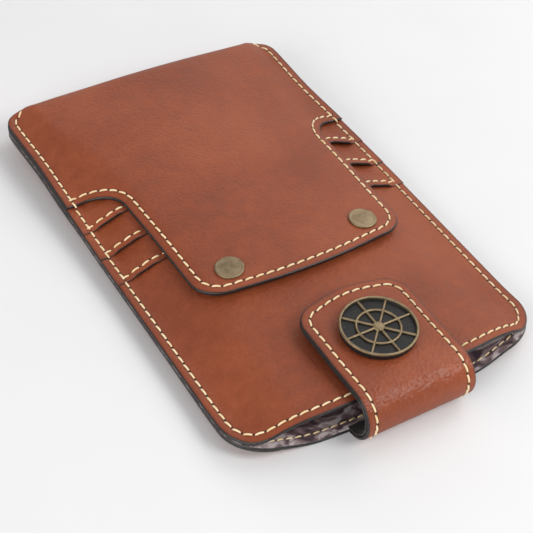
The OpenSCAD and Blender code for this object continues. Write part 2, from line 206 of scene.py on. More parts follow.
def layer_heights():
    """Height in millimetres of each layer over the seam margin and over the middle, from the frame.

    Each layer is (top over the margin, top over the middle, under the margin, under the middle).
    """
    seam = highest("back_lining", "z") / MM
    front = highest("front_panel", "z") / MM
    flap = highest("flap_panel", "z") / MM
    pockets = [highest("card_pocket_" + n, "z") / MM for n in ("upper", "middle", "lower")]
    skin = in_mm(settings().sleeve).skin
    cloth = in_mm(settings().sleeve).cloth
    layers = {
        "back": (seam - 2.0, 0.0, seam - 0.02, skin),
        "back_lining": (seam, skin + cloth, seam - 0.02, skin + 0.02),
        "front_lining": (seam + 0.3, front - skin - 0.02, seam + 0.02, front - skin - cloth),
        "front": (seam + 1.6, front, seam + 0.32, front - skin),
        "flap_lining": (seam + 2.68, flap - skin - 0.02, seam + 2.5, flap - skin - cloth),
        "flap": (seam + 3.6, flap, seam + 2.7, flap - skin),
    }
    for i, top in enumerate(pockets):
        margin = seam + 2.5 - 0.3 * i
        layers["pocket", i] = (margin, top, margin - 0.28, top - 0.45)
    return SimpleNamespace(seam=seam, of=layers)


def ease(t):
    """0 to 1 with level ends."""
    t = np.clip(t, 0, 1)
    return t * t * (3 - 2 * t)


def ripple(x, y):
    """Unevenness of leather formed by hand, in millimetres: a few long waves in different directions."""
    total = np.zeros_like(x, dtype=float)
    for k in range(1, 7):
        turn = 2.4 * k
        wave = 13 + 8 * k
        across = x * math.cos(turn) + y * math.sin(turn)
        total += 0.022 * (1 + k / 3) * np.sin(across * 2 * math.pi / wave + k)
    return total


class Sleeve:
    """The shapes of the sleeve in millimetres. Every surface takes arrays and returns points."""

    # The exponent of the fold's round section, where 2 would be a circle.
    squareness = 2.7
    # How far behind the back's own straight edge each layer ends at the mouth.
    setback = {"back": 0.7, "back_lining": 0.8, "front": 1.0, "front_lining": 1.35}

    def __init__(self):
        self.s = in_mm(settings().sleeve)
        self.layers = layer_heights()
        self.seam = self.layers.seam
        self.fold_start = self.s.far - self.s.fold
        angle = np.linspace(0, math.pi, 400)
        reach = self.s.fold * np.sin(angle) ** (2 / self.squareness)
        cosine = np.cos(angle)
        rise = np.where(cosine > 0, self.layers.of["flap"][1] - self.seam, self.seam)
        height = np.sign(cosine) * np.abs(cosine) ** (2 / self.squareness) * rise
        steps = np.hypot(np.diff(reach), np.diff(height))
        self.fold_angle = angle
        self.fold_along = self.fold_start + np.concatenate([[0], np.cumsum(steps)])
        self.fold_end = self.fold_along[-1]

    def seam_rise(self, y):
        """How far the seams rise: towards the far end, halfway up the fold, and a little at the mouth."""
        return self.s.seam_rise * (ease((y - 5) / 78) + 0.35 * ease((-60 - y) / 22))

    def sway(self, y):
        """How far the soft sleeve leans to its left at its far end."""
        return -self.s.sway * ease((y - 20) / 62) - self.s.taper * ease((y + 2) / 60)

    def across(self, x, margin, middle_z, slope=None):
        """Height across the front: a flat margin, a slope and a crowned middle."""
        a = np.abs(x)
        slope = self.s.slope if slope is None else slope
        inner = self.s.half - self.s.margin - slope
        t = np.clip((self.s.half - self.s.margin - a) / slope, 0, 1)
        foot = 0.24 * slope
        brow = 2 * self.s.crown / inner * slope
        shoulder = middle_z - self.s.crown
        rise = ((2 * t**3 - 3 * t**2 + 1) * margin + (t**3 - 2 * t**2 + t) * foot
                + (3 * t**2 - 2 * t**3) * shoulder + (t**3 - t**2) * brow)
        return np.where(a < inner, middle_z - self.s.crown * (a / inner) ** 2, rise)

    def across_back(self, x, y, margin, middle_z):
        """Height across the back: turned up to the margin, further in at the mouth, flat in the middle."""
        slope = self.s.back_slope * (1 + 0.8 * ease((-58 - y) / 25))
        t = (self.s.half - self.s.margin - np.abs(x)) / slope
        return margin + (middle_z - margin) * ease(t)

    def freedom(self, x):
        """1 over the middle and 0 on the seam margin, where the layers are sewn together."""
        return ease((self.s.half - self.s.margin - np.abs(x)) / 9)

    def square(self, x):
        """How square the fold is: round over the middle, fuller at the seams."""
        return self.squareness + 2.5 * (1 - self.freedom(x))

    def fold_height(self, x, y, inset):
        """What is left of a layer's height where it rounds off under the fold."""
        t = np.clip((y - self.fold_start) / (self.s.fold - inset), 0, 1)
        square = self.square(x)
        return (1 - t**square) ** (1 / square)

    def placed(self, x, y, rise, height, inset):
        """The points of a layer, rounded off towards the seam under the fold and leant with the sleeve."""
        height = self.seam + rise + (height - self.seam - rise) * self.fold_height(x, y, inset)
        return np.stack([x + self.sway(y), y, height], -1)

    def slot(self, number):
        """Where the edge of a card slot lies, counted from the flap's shoulder."""
        return self.s.shoulder - number * self.s.slot_step

    def layer(self, name, under=False):
        """The top or the underside of a layer of the front, set into the fold by its depth there."""
        kind = "pocket" if name[0] == "pocket" else name
        inset = {"flap_lining": (self.s.skin, self.s.skin + self.s.cloth), "pocket": (1.7, 1.9),
                 "front": (2.1, 3.3), "front_lining": (3.3, 3.8)}[kind][under]
        heights = self.layers.of[name][2:] if under else self.layers.of[name][:2]
        if kind == "flap_lining":
            return self.front_surface(*heights, inset)
        if kind == "pocket":
            return self.front_surface(*heights, inset, self.slot(name[1] + 1), 0.4 if under else 1.0)
        return self.front_surface(*heights, inset, self.slot(3), 0.0)

    def front_surface(self, margin, middle_z, inset, slot=None, lift=1.0):
        """A surface of the front, as a function of x and y. A slot's edge stands open there."""
        def at(x, y):
            rise = self.seam_rise(y)
            height = self.across(x, margin + rise, middle_z) + ripple(x, y) * self.freedom(x)
            height = height + self.s.mouth_lift * ease((-56 - y) / 30) * self.freedom(x)
            if slot is not None:
                along = ease((y - slot) / self.s.slot_step)
                inner = ease((self.s.half - self.s.margin + 0.5 - np.abs(x)) / 2.5)
                gape = inner * ease((np.abs(x) - 40) / 4)
                height = height + self.s.slot_lift * (lift - 1.6 * along) * gape
            return self.placed(x, y, rise, height, inset)
        return at

    def back_surface(self, margin, middle_z):
        """A layer of the back, as a function of x and y."""
        def at(x, y):
            rise = self.seam_rise(y)
            height = self.across_back(x, y, margin + rise, middle_z)
            return self.placed(x, y, rise, height, 2 * self.s.skin)
        return at

    def wrap_surface(self, under=False):
        """The folded leather, as a function of x and the distance along it, which is y on the flap."""
        part = slice(2, 4) if under else slice(0, 2)
        top, low = self.layers.of["flap"][part], self.layers.of["back"][part]
        inset = self.s.skin if under else 0.0

        def at(x, along):
            flat = np.where(along < self.fold_end, np.minimum(along, self.fold_start),
                            self.fold_start + self.fold_end - along)
            rise = self.seam_rise(flat)
            slope = self.s.slope * (1 - 0.55 * ease((along - 38) / 40))
            upper = self.across(x, top[0] + rise, top[1], slope) + ripple(x, along) * self.freedom(x)
            square = self.square(x)
            lower = self.across_back(x, flat, low[0] + rise, low[1])
            seam = self.seam + rise
            angle = np.interp(along, self.fold_along, self.fold_angle)
            cosine = np.cos(angle)
            share = np.sign(cosine) * np.abs(cosine) ** (2 / square)
            height = seam + np.where(cosine > 0, upper - seam, seam - lower) * share
            reach = (self.s.fold - inset) * np.abs(np.sin(angle)) ** (2 / square)
            return np.stack([x + self.sway(flat), flat + reach, height], -1)
        return at

    def along_of(self, x, y, lower=False):
        """The distance along the folded leather of a place in the plan, on its upper or its lower half."""
        reach = np.clip((y - self.fold_start) / self.s.fold, 0, 1)
        angle = np.arcsin(reach ** (self.square(x) / 2))
        if lower:
            angle = math.pi - angle
        flat = self.fold_start + self.fold_end - y if lower else y
        return np.where(y < self.fold_start, flat, np.interp(angle, self.fold_angle, self.fold_along))

    def side(self, y, inset=0.0):
        """Half width of the sleeve at y: round far corners, and sides drawn in a little by the flap."""
        centre = self.s.far - self.s.corner
        radius = self.s.corner - inset
        fall = np.clip(y - centre, 0, radius)
        drawn_in = 0.5 * np.exp(-(((y - 58) / 14) ** 2)) + self.s.taper * ease((y + 2) / 60)
        return self.s.half - self.s.corner + np.sqrt(radius**2 - fall**2) - drawn_in

    def mouth_edge(self, setback, inset=0.0):
        """The mouth edge in the plan from left to right, both corners included."""
        s = self.s
        y = s.mouth + setback + s.mouth_crown
        turn = s.half - s.mouth_corner
        left = arc((-turn, y + s.mouth_corner), s.mouth_corner - inset, 180, 270)
        t = np.linspace(-1, 1, 41)[1:-1]
        bow = np.stack([turn * t, y + inset - s.mouth_crown * (1 - t**2)], -1)
        right = arc((turn, y + s.mouth_corner), s.mouth_corner - inset, 270, 360)
        return np.concatenate([left, bow, right])

    def tongue_edge(self, inset=0.0):
        """The tongue's edge in the plan, from the left shoulder round the tip to the right one."""
        s = self.s
        tip = highest_tip(s) + inset
        right = [arc((s.tongue_end - s.tongue_round, tip + s.tongue_round - inset),
                     s.tongue_round - inset, -82, 0),
                 arc((s.tongue_root + s.shoulder_round, s.shoulder - s.shoulder_round),
                     s.shoulder_round + inset, 180, 90)]
        side = np.concatenate(right)
        t = np.linspace(-1, 1, 31)[1:-1]
        bow = np.stack([(s.tongue_end - s.tongue_round) * t, tip - s.tongue_bow * (1 - t**2)], -1)
        return np.concatenate([side[::-1] * (-1, 1), bow, side])


def highest_tip(s):
    """Where the straight part of the tongue's lower edge would lie without its bow."""
    return lowest("flap_tongue", "y") / MM + s.tongue_bow


def arc(centre, radius, start, end, step=0.6):
    """Points of an arc in the plan, angles in degrees."""
    count = max(4, int(abs(math.radians(end - start)) * radius / step) + 1)
    turn = np.radians(np.linspace(start, end, count))
    return np.stack([centre[0] + radius * np.cos(turn), centre[1] + radius * np.sin(turn)], -1)


def spaced(points, step):
    """A polyline with its points set out evenly, both ends kept."""
    points = np.asarray(points, float)
    lengths = np.linalg.norm(np.diff(points, axis=0), axis=1)
    along = np.concatenate([[0], np.cumsum(lengths)])
    count = max(2, int(round(along[-1] / step)) + 1)
    wanted = np.linspace(0, along[-1], count)
    return np.stack([np.interp(wanted, along, points[:, k]) for k in range(points.shape[1])], -1)


# ---------------------------------------------------------------- meshes


def new_object(name, verts, faces, materials, face_materials=None, smooth=True, crease=42):
    """A mesh object in the scene, its places given in millimetres."""
    mesh = bpy.data.meshes.new(name)
    mesh.from_pydata([tuple(v) for v in np.asarray(verts) * MM], [], faces)
    for material in materials:
        mesh.materials.append(material)
    if face_materials is not None:
        mesh.polygons.foreach_set("material_index", face_materials)
    mesh.polygons.foreach_set("use_smooth", [smooth] * len(mesh.polygons))
    mesh.set_sharp_from_angle(angle=math.radians(crease))
    mesh.validate()
    obj = bpy.data.objects.new(name, mesh)
    bpy.context.scene.collection.objects.link(obj)
    return obj


def inside(points, loop):
    """Which points lie inside a closed loop."""
    x, y = points[:, 0][:, None], points[:, 1][:, None]
    ax, ay = loop[:, 0], loop[:, 1]
    bx, by = np.roll(ax, -1), np.roll(ay, -1)
    crosses = (ay > y) != (by > y)
    with np.errstate(divide="ignore", invalid="ignore"):
        left = x < (bx - ax) * (y - ay) / (by - ay) + ax
    return (np.sum(crosses & left, axis=1) % 2) == 1


def distance(points, line):
    """Distance from each point to the nearest point of a dense line."""
    best = np.full(len(points), 1e9)
    for start in range(0, len(line), 64):
        part = line[start:start + 64]
        gap = np.linalg.norm(points[:, None, :] - part[None, :, :], axis=2).min(axis=1)
        best = np.minimum(best, gap)
    return best


def inward(loop, joined):
    """Unit vectors into a counterclockwise loop. A joined point only moves along its own cut."""
    ahead, behind = np.roll(loop, -1, axis=0), np.roll(loop, 1, axis=0)
    along = ahead - behind
    along /= np.linalg.norm(along, axis=1)[:, None]
    normal = np.stack([-along[:, 1], along[:, 0]], -1)
    for i in np.flatnonzero(joined):
        before, after = joined[i - 1], joined[(i + 1) % len(loop)]
        if before and after:
            normal[i] = 0
        else:
            way = (behind if before else ahead)[i] - loop[i]
            normal[i] = way / np.linalg.norm(way)
    return normal


# Where the wall of a sheet is cut into rings, as shares of its thickness.
WALL = (0.0, 0.07, 0.25, 0.5, 0.75, 0.93, 1.0)


def sheet(name, parts, top, under, materials, cell=1.3, rounding=0.4, groove=0.14, bent=None):
    """A sheet of leather or cloth between two surfaces.

    parts is its outline as (kind, points) pieces, counterclockwise: an edge is rounded, painted
    and has a line of stitches pressed in beside it, a raw edge is only rounded, and a join is cut
    square where the same leather goes on in another piece. materials are for the top, the wall
    and the underside. bent is a function that says where the leather is bent hard, from 0 to 1.
    """
    inset = in_mm(settings().sleeve).inset
    loops, kinds = [], []
    for kind, points in parts:
        points = spaced(points, 1.0)
        loops.append(points[:-1])
        kinds += [kind] * (len(points) - 1)
    loop = np.concatenate(loops)
    kinds = np.array(kinds)
    joined = (kinds == "join") | (np.roll(kinds, 1) == "join")
    normal = inward(loop, joined)

    verts, faces, marks = [], [], []
    count = len(loop)
    for share in WALL:
        depth = rounding * (1 - math.sqrt(max(0.0, 1 - (2 * share - 1) ** 2)))
        ring = loop + normal * depth
        verts.append((1 - share) * top(*ring.T) + share * under(*ring.T))
    for r in range(len(WALL) - 1):
        for i in range(count):
            j = (i + 1) % count
            faces.append((r * count + i, (r + 1) * count + i, (r + 1) * count + j, r * count + j))
            marks.append(1 if kinds[i] != "join" else 0)

    rim = loop + normal * rounding
    stitched = loop[kinds == "edge"]
    low, high = loop.min(axis=0), loop.max(axis=0)
    columns = np.arange(low[0] + cell / 2, high[0], cell)
    rows = np.arange(low[1] + cell / 2, high[1], cell)
    grid = np.stack(np.meshgrid(columns, rows), -1).reshape(-1, 2)
    grid[:, 0] += np.where(np.arange(len(grid)) // len(columns) % 2, cell / 4, -cell / 4)
    grid = grid[inside(grid, rim)]
    grid = grid[distance(grid, rim) > 0.62 * cell]
    if len(stitched) and groove:
        from_edge = distance(grid, stitched)
        grid = grid[np.abs(from_edge - inset) > 1.1]
        for offset in (-0.75, -0.35, 0.0, 0.35, 0.75):
            ring = (loop + normal * (inset + offset))[(kinds == "edge")]
            good = distance(ring, stitched) > (inset + offset) * 0.985
            ring = ring[good]
            ring = ring[inside(ring, rim)]
            if len(ring):
                grid = np.concatenate([grid, ring[distance(ring, rim) > 0.5]])
    if joined.any():
        near = (loop + inward(loop, joined & False) * 0.12)[joined]
        grid = np.concatenate([grid, near[inside(near, rim)]])
    spots = np.concatenate([rim, grid])
    edges = [(i, (i + 1) % count) for i in range(count)]
    spots = [Vector(p) for p in spots]
    spread, _, triangles, origin, _, _ = delaunay_2d_cdt(spots, edges, [], 1, 1e-5)
    spread = np.array([tuple(p) for p in spread])
    first = [o[0] if o else -1 for o in origin]

    flat_top, flat_under = top(*spread.T), under(*spread.T)
    if len(stitched) and groove:
        press = groove * np.exp(-(((distance(spread, stitched) - inset) / 0.55) ** 2))
        thick = np.maximum(np.linalg.norm(flat_under - flat_top, axis=1), 0.2)
        flat_top = flat_top + (flat_under - flat_top) * (press / thick)[:, None]
    base = len(WALL) * count
    extra = [i for i, o in enumerate(first) if o >= count or o < 0]
    slot_of = {i: k for k, i in enumerate(extra)}
    verts += [flat_top[extra], flat_under[extra]]

    def corner(i, lower):
        if 0 <= first[i] < count:
            return first[i] + (len(WALL) - 1) * count * lower
        return base + slot_of[i] + len(extra) * lower
    for triangle in triangles:
        a, b, c = triangle[:3]
        faces.append((corner(a, 0), corner(b, 0), corner(c, 0)))
        faces.append((corner(c, 1), corner(b, 1), corner(a, 1)))
        marks += [0, 2]
    piece = new_object(name, np.concatenate(verts), faces, materials, marks)
    flat = np.concatenate([loop] * len(WALL) + [spread[extra], spread[extra]])
    from_edge = distance(flat, stitched) if len(stitched) else np.full(len(flat), 8.0)
    values = {"from_edge": np.minimum(from_edge, 8)}
    if bent:
        values["bent"] = bent(*flat.T)
    for title, amounts in values.items():
        attribute = piece.data.attributes.new(title, "FLOAT", "POINT")
        attribute.data.foreach_set("value", np.asarray(amounts, np.float32))
    return piece


def lathe(profile, steps=72):
    """Points and faces turned from a profile of (radius, height), closed where it meets the axis."""
    verts, faces, rows = [], [], []
    for radius, height in profile:
        if radius < 1e-6:
            rows.append([len(verts)] * steps)
            verts.append((0, 0, height))
            continue
        rows.append(list(range(len(verts), len(verts) + steps)))
        for k in range(steps):
            turn = 2 * math.pi * k / steps
            verts.append((radius * math.cos(turn), radius * math.sin(turn), height))
    for low, high in zip(rows, rows[1:]):
        for k in range(steps):
            j = (k + 1) % steps
            face = [low[k], low[j], high[j], high[k]]
            face = [v for n, v in enumerate(face) if v != face[n - 1]]
            if len(face) > 2:
                faces.append(tuple(face))
    return np.array(verts), faces


def joined_shapes(shapes):
    """Several (points, faces) as one."""
    verts, faces, base = [], [], 0
    for points, polygons in shapes:
        verts.append(points)
        faces += [tuple(v + base for v in face) for face in polygons]
        base += len(points)
    return np.concatenate(verts), faces


def on_surface(surface, x, y, step=0.05):
    """A point of a surface and its unit normal there."""
    x, y = np.asarray(x, float), np.asarray(y, float)
    place = surface(x, y)
    across = surface(x + step, y) - surface(x - step, y)
    along = surface(x, y + step) - surface(x, y - step)
    normal = np.cross(across, along)
    return place, normal / np.linalg.norm(normal, axis=-1)[..., None]


def set_square(points, place, normal):
    """Points stood on a place, their Z along the normal."""
    turn = Vector((0, 0, 1)).rotation_difference(Vector(normal)).to_matrix()
    return np.array(points) @ np.array(turn).T + np.array(place)


# ---------------------------------------------------------------- the strap


class Strap:
    """The strap's shape in millimetres: along it, 0 is the middle of the bend round the mouth."""

    def __init__(self):
        self.s = in_mm(settings().strap)
        self.radius = self.s.top / 2
        self.centre = middle_of_bend(self.s)
        self.quarter = self.radius * math.pi / 2
        self.root = -self.quarter - 1.2
        self.tip = self.s.tip - self.centre + self.quarter

    def surface(self, depth):
        """The strap at a depth below its outside, as a function of x and the distance along it."""
        def at(x, along):
            angle = np.clip(along / self.radius, -math.pi / 2, math.pi / 2)
            radius = self.radius - depth
            run = np.maximum(np.abs(along) - self.quarter, 0)
            bend = np.cos(angle)
            y = self.centre - radius * bend + run
            z = self.radius + radius * np.sin(angle)
            on_top = ease((along - self.quarter * 0.3) / self.quarter)
            belly = 0.35 * (np.abs(x) / self.s.half) ** 2 * on_top
            z = z - belly + 0.8 * ripple(x * 1.7, along * 1.7) * on_top
            crease = np.exp(-((along - self.quarter * 0.62) / 4.2) ** 2)
            fine = np.sin(along * 2.1 + 1.1 * np.sin(x * 0.31) + 0.5 * np.sin(x * 0.83 + 1))
            drape = 0.035 * crease * fine * (0.6 + 0.4 * np.sin(x * 0.45))
            push = np.stack([np.zeros_like(z), -bend * drape, np.sin(angle) * drape], -1)
            return np.stack([x, y, z], -1) + push
        return at

    def bent(self, _, along):
        """How hard the strap is bent, from 0 to 1: most where it turns on to the front, at any x."""
        return np.exp(-(((along - self.quarter * 0.55) / (self.quarter * 0.5)) ** 2))

    def edge(self, inset=0.0):
        """The strap's outline from its left side over the tip to the right, clockwise."""
        s = self.s
        wide = s.half - inset
        turn = s.tip_round - inset
        tip = self.tip - inset - s.tip_bow
        corner = arc((wide - turn, tip - turn), turn, 0, 84)
        t = np.linspace(1, -1, 15)[1:-1]
        bow = np.stack([(wide - turn) * t, tip + s.tip_bow * (1 - t**2)], -1)
        return np.concatenate([corner, bow, corner[::-1] * (-1, 1)])


def middle_of_bend(s):
    """Where the strap's bend is centred along Y, from the hinge where the strap opens."""
    hinge = HINGES["strap_open"]["pos_m"][1] / MM
    return hinge + s.top / 2 * math.sqrt(0.5)


# ---------------------------------------------------------------- finishes


def connect(tree, node, inputs):
    """Sets a node's inputs, by name or number, to numbers or to other nodes' sockets."""
    for key, value in inputs.items():
        socket = node.inputs[key]
        if isinstance(value, bpy.types.NodeSocket):
            tree.links.new(value, socket)
        else:
            socket.default_value = value


def add(tree, kind, inputs=None, stops=None, **values):
    """A node with its settings and its inputs. stops are a ramp's (position, colour), from low to high."""
    node = tree.nodes.new(kind)
    for name, value in values.items():
        setattr(node, name, value)
    connect(tree, node, inputs or {})
    if stops:
        ramp = node.color_ramp.elements
        for position, _ in stops[1:-1]:
            ramp.new(position)
        for element, (position, colour) in zip(ramp, stops):
            element.position = position
            element.color = (*colour, 1)
    return node


def material(finish):
    """The material of a finish, made once: a finish adds its nodes and returns its shader's inputs."""
    found = bpy.data.materials.get(finish.__name__)
    if found:
        return found
    made = bpy.data.materials.new(finish.__name__)
    made.use_nodes = True
    tree = made.node_tree
    place = add(tree, "ShaderNodeTexCoord").outputs["Object"]
    connect(tree, tree.nodes["Principled BSDF"], finish(tree, place))
    return made


def scaled(colour, *by):
    """A colour with its parts multiplied, by one number or by three."""
    return [part * share for part, share in zip(colour, by * 3)]


def cognac_calf(tree, place):
    """Cognac calf, drum dyed and lightly waxed: clouded colour, fine pebbled grain, a soft gloss.

    Painted shade darkens it in the stitched groove and in the valleys of its grain, and it is
    burnished near its edges. Round the bend of the strap the grain opens and the wax is rubbed to a shine.
    """
    f = settings().finish
    edge = add(tree, "ShaderNodeAttribute", attribute_name="from_edge").outputs["Fac"]
    bent = add(tree, "ShaderNodeAttribute", attribute_name="bent").outputs["Fac"]
    # Clouds of dye 35 mm across, mottling of 4 mm and pores of 0.5 mm.
    clouds, mottle, pores = (
        add(tree, "ShaderNodeTexNoise", {"Vector": place, "Scale": 1 / size, "Detail": detail}).outputs["Fac"]
        for size, detail in ((0.035, 3), (0.004, 4), (0.0005, 2)))
    dye = add(tree, "ShaderNodeMath", {0: mottle, 1: 0.45, 2: clouds}, operation="MULTIPLY_ADD").outputs[0]
    tint = add(tree, "ShaderNodeValToRGB", {"Fac": dye},
               [(0.52, f.leather_deep), (0.72, f.leather), (0.92, f.leather_light)]).outputs[0]
    # Pebbles of the grain are about 0.8 mm, drawn at 1 mm so that they show.
    wobble = add(tree, "ShaderNodeTexNoise", {"Vector": place, "Scale": 1 / 0.0016, "Detail": 1})
    shifted = add(tree, "ShaderNodeVectorMath",
                  {0: wobble.outputs["Color"], 1: (0.0007, 0.0007, 0.0007), 2: place},
                  operation="MULTIPLY_ADD").outputs[0]
    grain = add(tree, "ShaderNodeTexVoronoi", {"Vector": shifted, "Scale": 1 / 0.001},
                feature="SMOOTH_F1").outputs["Distance"]
    # Painted shade: the colour darkens in the valleys between the grain's pebbles.
    crease = add(tree, "ShaderNodeMapRange", {"Value": grain, "From Min": 0.25, "From Max": 0.75}).outputs[0]
    shade = add(tree, "ShaderNodeMapRange", {"Value": crease, "To Min": 1.02, "To Max": 0.94}).outputs[0]
    # The painted edge stains the leather for 1 mm, and a groove 1.5 mm wide follows 3 mm inside it,
    # darkened there with painted shade.
    rub = add(tree, "ShaderNodeMapRange", {"Value": edge, "From Min": 0.2, "From Max": 1.1,
                                           "To Min": 0.76, "To Max": 1.0}).outputs[0]
    groove = add(tree, "ShaderNodeMath", {0: edge, 1: 3.0, 2: 0.75}, operation="COMPARE").outputs[0]
    # Painted shade in the stitched groove.
    pressed = add(tree, "ShaderNodeMapRange", {"Value": groove, "To Min": 1.0, "To Max": 0.93}).outputs[0]
    # The painted shade of the grain and the groove, with the stain of the edge, darkens the dye.
    dull = add(tree, "ShaderNodeMath", {0: shade, 1: rub}, operation="MULTIPLY").outputs[0]
    dull = add(tree, "ShaderNodeMath", {0: dull, 1: pressed}, operation="MULTIPLY").outputs[0]
    colour = add(tree, "ShaderNodeVectorMath", {0: tint, "Scale": dull}, operation="SCALE").outputs[0]
    height = add(tree, "ShaderNodeMath", {0: pores, 1: 0.3, 2: grain}, operation="MULTIPLY_ADD").outputs[0]
    depth = add(tree, "ShaderNodeMapRange", {"Value": bent, "To Min": 0.5, "To Max": 0.9}).outputs[0]
    bump = add(tree, "ShaderNodeBump", {"Height": height, "Strength": depth, "Distance": 0.00035},
               invert=True).outputs[0]
    rough = add(tree, "ShaderNodeMapRange", {"Value": mottle, "From Min": 0.3, "From Max": 0.7,
                                             "To Min": 0.48, "To Max": 0.6}).outputs[0]
    waxed = add(tree, "ShaderNodeMath", {0: bent, 1: -0.2, 2: rough}, operation="MULTIPLY_ADD").outputs[0]
    return {"Base Color": colour, "Normal": bump, "Roughness": waxed, "IOR": 1.41}


def black_edge_paint(tree, place):
    """Black edge paint, brushed on in two coats: near black, satin, with faint ridges along the layers."""
    uneven = add(tree, "ShaderNodeTexNoise",
                 {"Vector": place, "Scale": 1 / 0.0012, "Detail": 3}).outputs["Fac"]
    ridges = add(tree, "ShaderNodeTexWave", {"Vector": place, "Scale": 1 / 0.0045, "Distortion": 2.5,
                                             "Detail": 2}, bands_direction="Z").outputs["Fac"]
    height = add(tree, "ShaderNodeMath", {0: ridges, 1: 0.7, 2: uneven}, operation="MULTIPLY_ADD").outputs[0]
    bump = add(tree, "ShaderNodeBump", {"Height": height, "Strength": 0.35, "Distance": 0.0002}).outputs[0]
    worn = add(tree, "ShaderNodeValToRGB", {"Fac": uneven},
               [(0.5, settings().finish.edge), (0.85, linear("#3A3330"))]).outputs[0]
    return {"Base Color": worn, "Normal": bump, "Roughness": 0.38}


def black_suede_split(tree, place):
    """Split leather dyed black, suede side buffed: dark, dull, with a short nap."""
    dyed = settings().finish.backing
    nap = add(tree, "ShaderNodeTexNoise", {"Vector": place, "Scale": 1 / 0.0007, "Detail": 5}).outputs["Fac"]
    tint = add(tree, "ShaderNodeValToRGB", {"Fac": nap},
               [(0.35, scaled(dyed, 0.6)), (0.7, scaled(dyed, 1.5))]).outputs[0]
    bump = add(tree, "ShaderNodeBump", {"Height": nap, "Strength": 0.5, "Distance": 0.0002}).outputs[0]
    return {"Base Color": tint, "Normal": bump, "Roughness": 0.72, "Sheen Weight": 0.12}


def marbled_cotton_print(tree, place):
    """Cotton lining with a marbled print: pale and dark patches 3 to 8 mm long over a woven ground."""
    f = settings().finish
    drawn = add(tree, "ShaderNodeMapping", {"Vector": place, "Scale": (0.55, 1, 1)}).outputs[0]
    patches = add(tree, "ShaderNodeTexNoise", {"Vector": drawn, "Scale": 1 / 0.0042, "Detail": 3,
                                               "Distortion": 1.4}).outputs["Fac"]
    tint = add(tree, "ShaderNodeValToRGB", {"Fac": patches},
               [(0.38, f.lining_dark), (0.5, f.lining_ground), (0.62, f.lining_print)]).outputs[0]
    # The yarns are 0.35 mm apart, drawn at 0.7 mm so that they show.
    warp = add(tree, "ShaderNodeTexWave", {"Vector": place, "Scale": 0.314 / 0.0007},
               bands_direction="X").outputs["Fac"]
    weft = add(tree, "ShaderNodeTexWave", {"Vector": place, "Scale": 0.314 / 0.0007},
               bands_direction="Y").outputs["Fac"]
    cloth = add(tree, "ShaderNodeMath", {0: warp, 1: weft}, operation="MULTIPLY").outputs[0]
    bump = add(tree, "ShaderNodeBump", {"Height": cloth, "Strength": 0.4, "Distance": 0.00015}).outputs[0]
    return {"Base Color": tint, "Normal": bump, "Roughness": 0.6}


def waxed_cream_thread(tree, place):
    """Waxed polyester thread: cream, slightly glossy, its strands drawn 0.5 mm apart so that they show."""
    cream = settings().finish.thread
    strands = add(tree, "ShaderNodeTexWave", {"Vector": place, "Scale": 0.314 / 0.0005, "Distortion": 1},
                  bands_direction="DIAGONAL").outputs["Fac"]
    dirt = add(tree, "ShaderNodeTexNoise", {"Vector": place, "Scale": 1 / 0.003, "Detail": 3}).outputs["Fac"]
    tint = add(tree, "ShaderNodeValToRGB", {"Fac": dirt},
               [(0.3, scaled(cream, 0.9, 0.8, 0.62)), (0.62, cream)]).outputs[0]
    bump = add(tree, "ShaderNodeBump", {"Height": strands, "Strength": 0.3, "Distance": 0.0001}).outputs[0]
    return {"Base Color": tint, "Normal": bump, "Roughness": 0.5, "Sheen Weight": 0.15}


def needle_hole(tree, place):
    """The pricked leather round a stitch's end, in its own shadow: dark brown and dull."""
    speck = add(tree, "ShaderNodeTexNoise", {"Vector": place, "Scale": 1 / 0.0006}).outputs["Fac"]
    tint = add(tree, "ShaderNodeValToRGB", {"Fac": speck},
               [(0, linear("#120B08")), (1, linear("#3A2118"))]).outputs[0]
    return {"Base Color": tint, "Roughness": 0.8}


def aged_brass(tree, place):
    """Antique brass, chemically aged and rubbed back: warm grey gold, browner where it stayed dark."""
    f = settings().finish
    patches = add(tree, "ShaderNodeTexNoise",
                  {"Vector": place, "Scale": 1 / 0.003, "Detail": 5}).outputs["Fac"]
    tint = add(tree, "ShaderNodeValToRGB", {"Fac": patches}, [(0.3, f.patina), (0.56, f.brass)]).outputs[0]
    fine = add(tree, "ShaderNodeTexNoise", {"Vector": place, "Scale": 1 / 0.0004, "Detail": 2}).outputs["Fac"]
    rough = add(tree, "ShaderNodeMapRange", {"Value": fine, "To Min": 0.44, "To Max": 0.62}).outputs[0]
    bump = add(tree, "ShaderNodeBump", {"Height": fine, "Strength": 0.12, "Distance": 0.0001}).outputs[0]
    return {"Base Color": tint, "Roughness": rough, "Normal": bump, "Metallic": 1.0}


def tumbled_nickel(tree, place):
    """Nickel plate on pressed steel: light grey and bright, finely tumbled."""
    fine = add(tree, "ShaderNodeTexNoise", {"Vector": place, "Scale": 1 / 0.0006, "Detail": 3}).outputs["Fac"]
    rough = add(tree, "ShaderNodeMapRange", {"Value": fine, "To Min": 0.2, "To Max": 0.38}).outputs[0]
    tint = add(tree, "ShaderNodeValToRGB", {"Fac": fine},
               [(0, linear("#9E9A93")), (1, linear("#C9C5BD"))]).outputs[0]
    return {"Base Color": tint, "Roughness": rough, "Metallic": 1.0}


def blackened_metal(tree, place):
    """Blackened metal under a thin lacquer, cast with a fine tooth: charcoal, satin."""
    tooth = add(tree, "ShaderNodeTexNoise",
                {"Vector": place, "Scale": 1 / 0.00045, "Detail": 3}).outputs["Fac"]
    tint = add(tree, "ShaderNodeValToRGB", {"Fac": tooth},
               [(0.4, settings().finish.enamel), (0.75, linear("#2B2928"))]).outputs[0]
    bump = add(tree, "ShaderNodeBump", {"Height": tooth, "Strength": 0.4, "Distance": 0.0001}).outputs[0]
    return {"Base Color": tint, "Normal": bump, "Roughness": 0.5, "Specular IOR Level": 0.3}


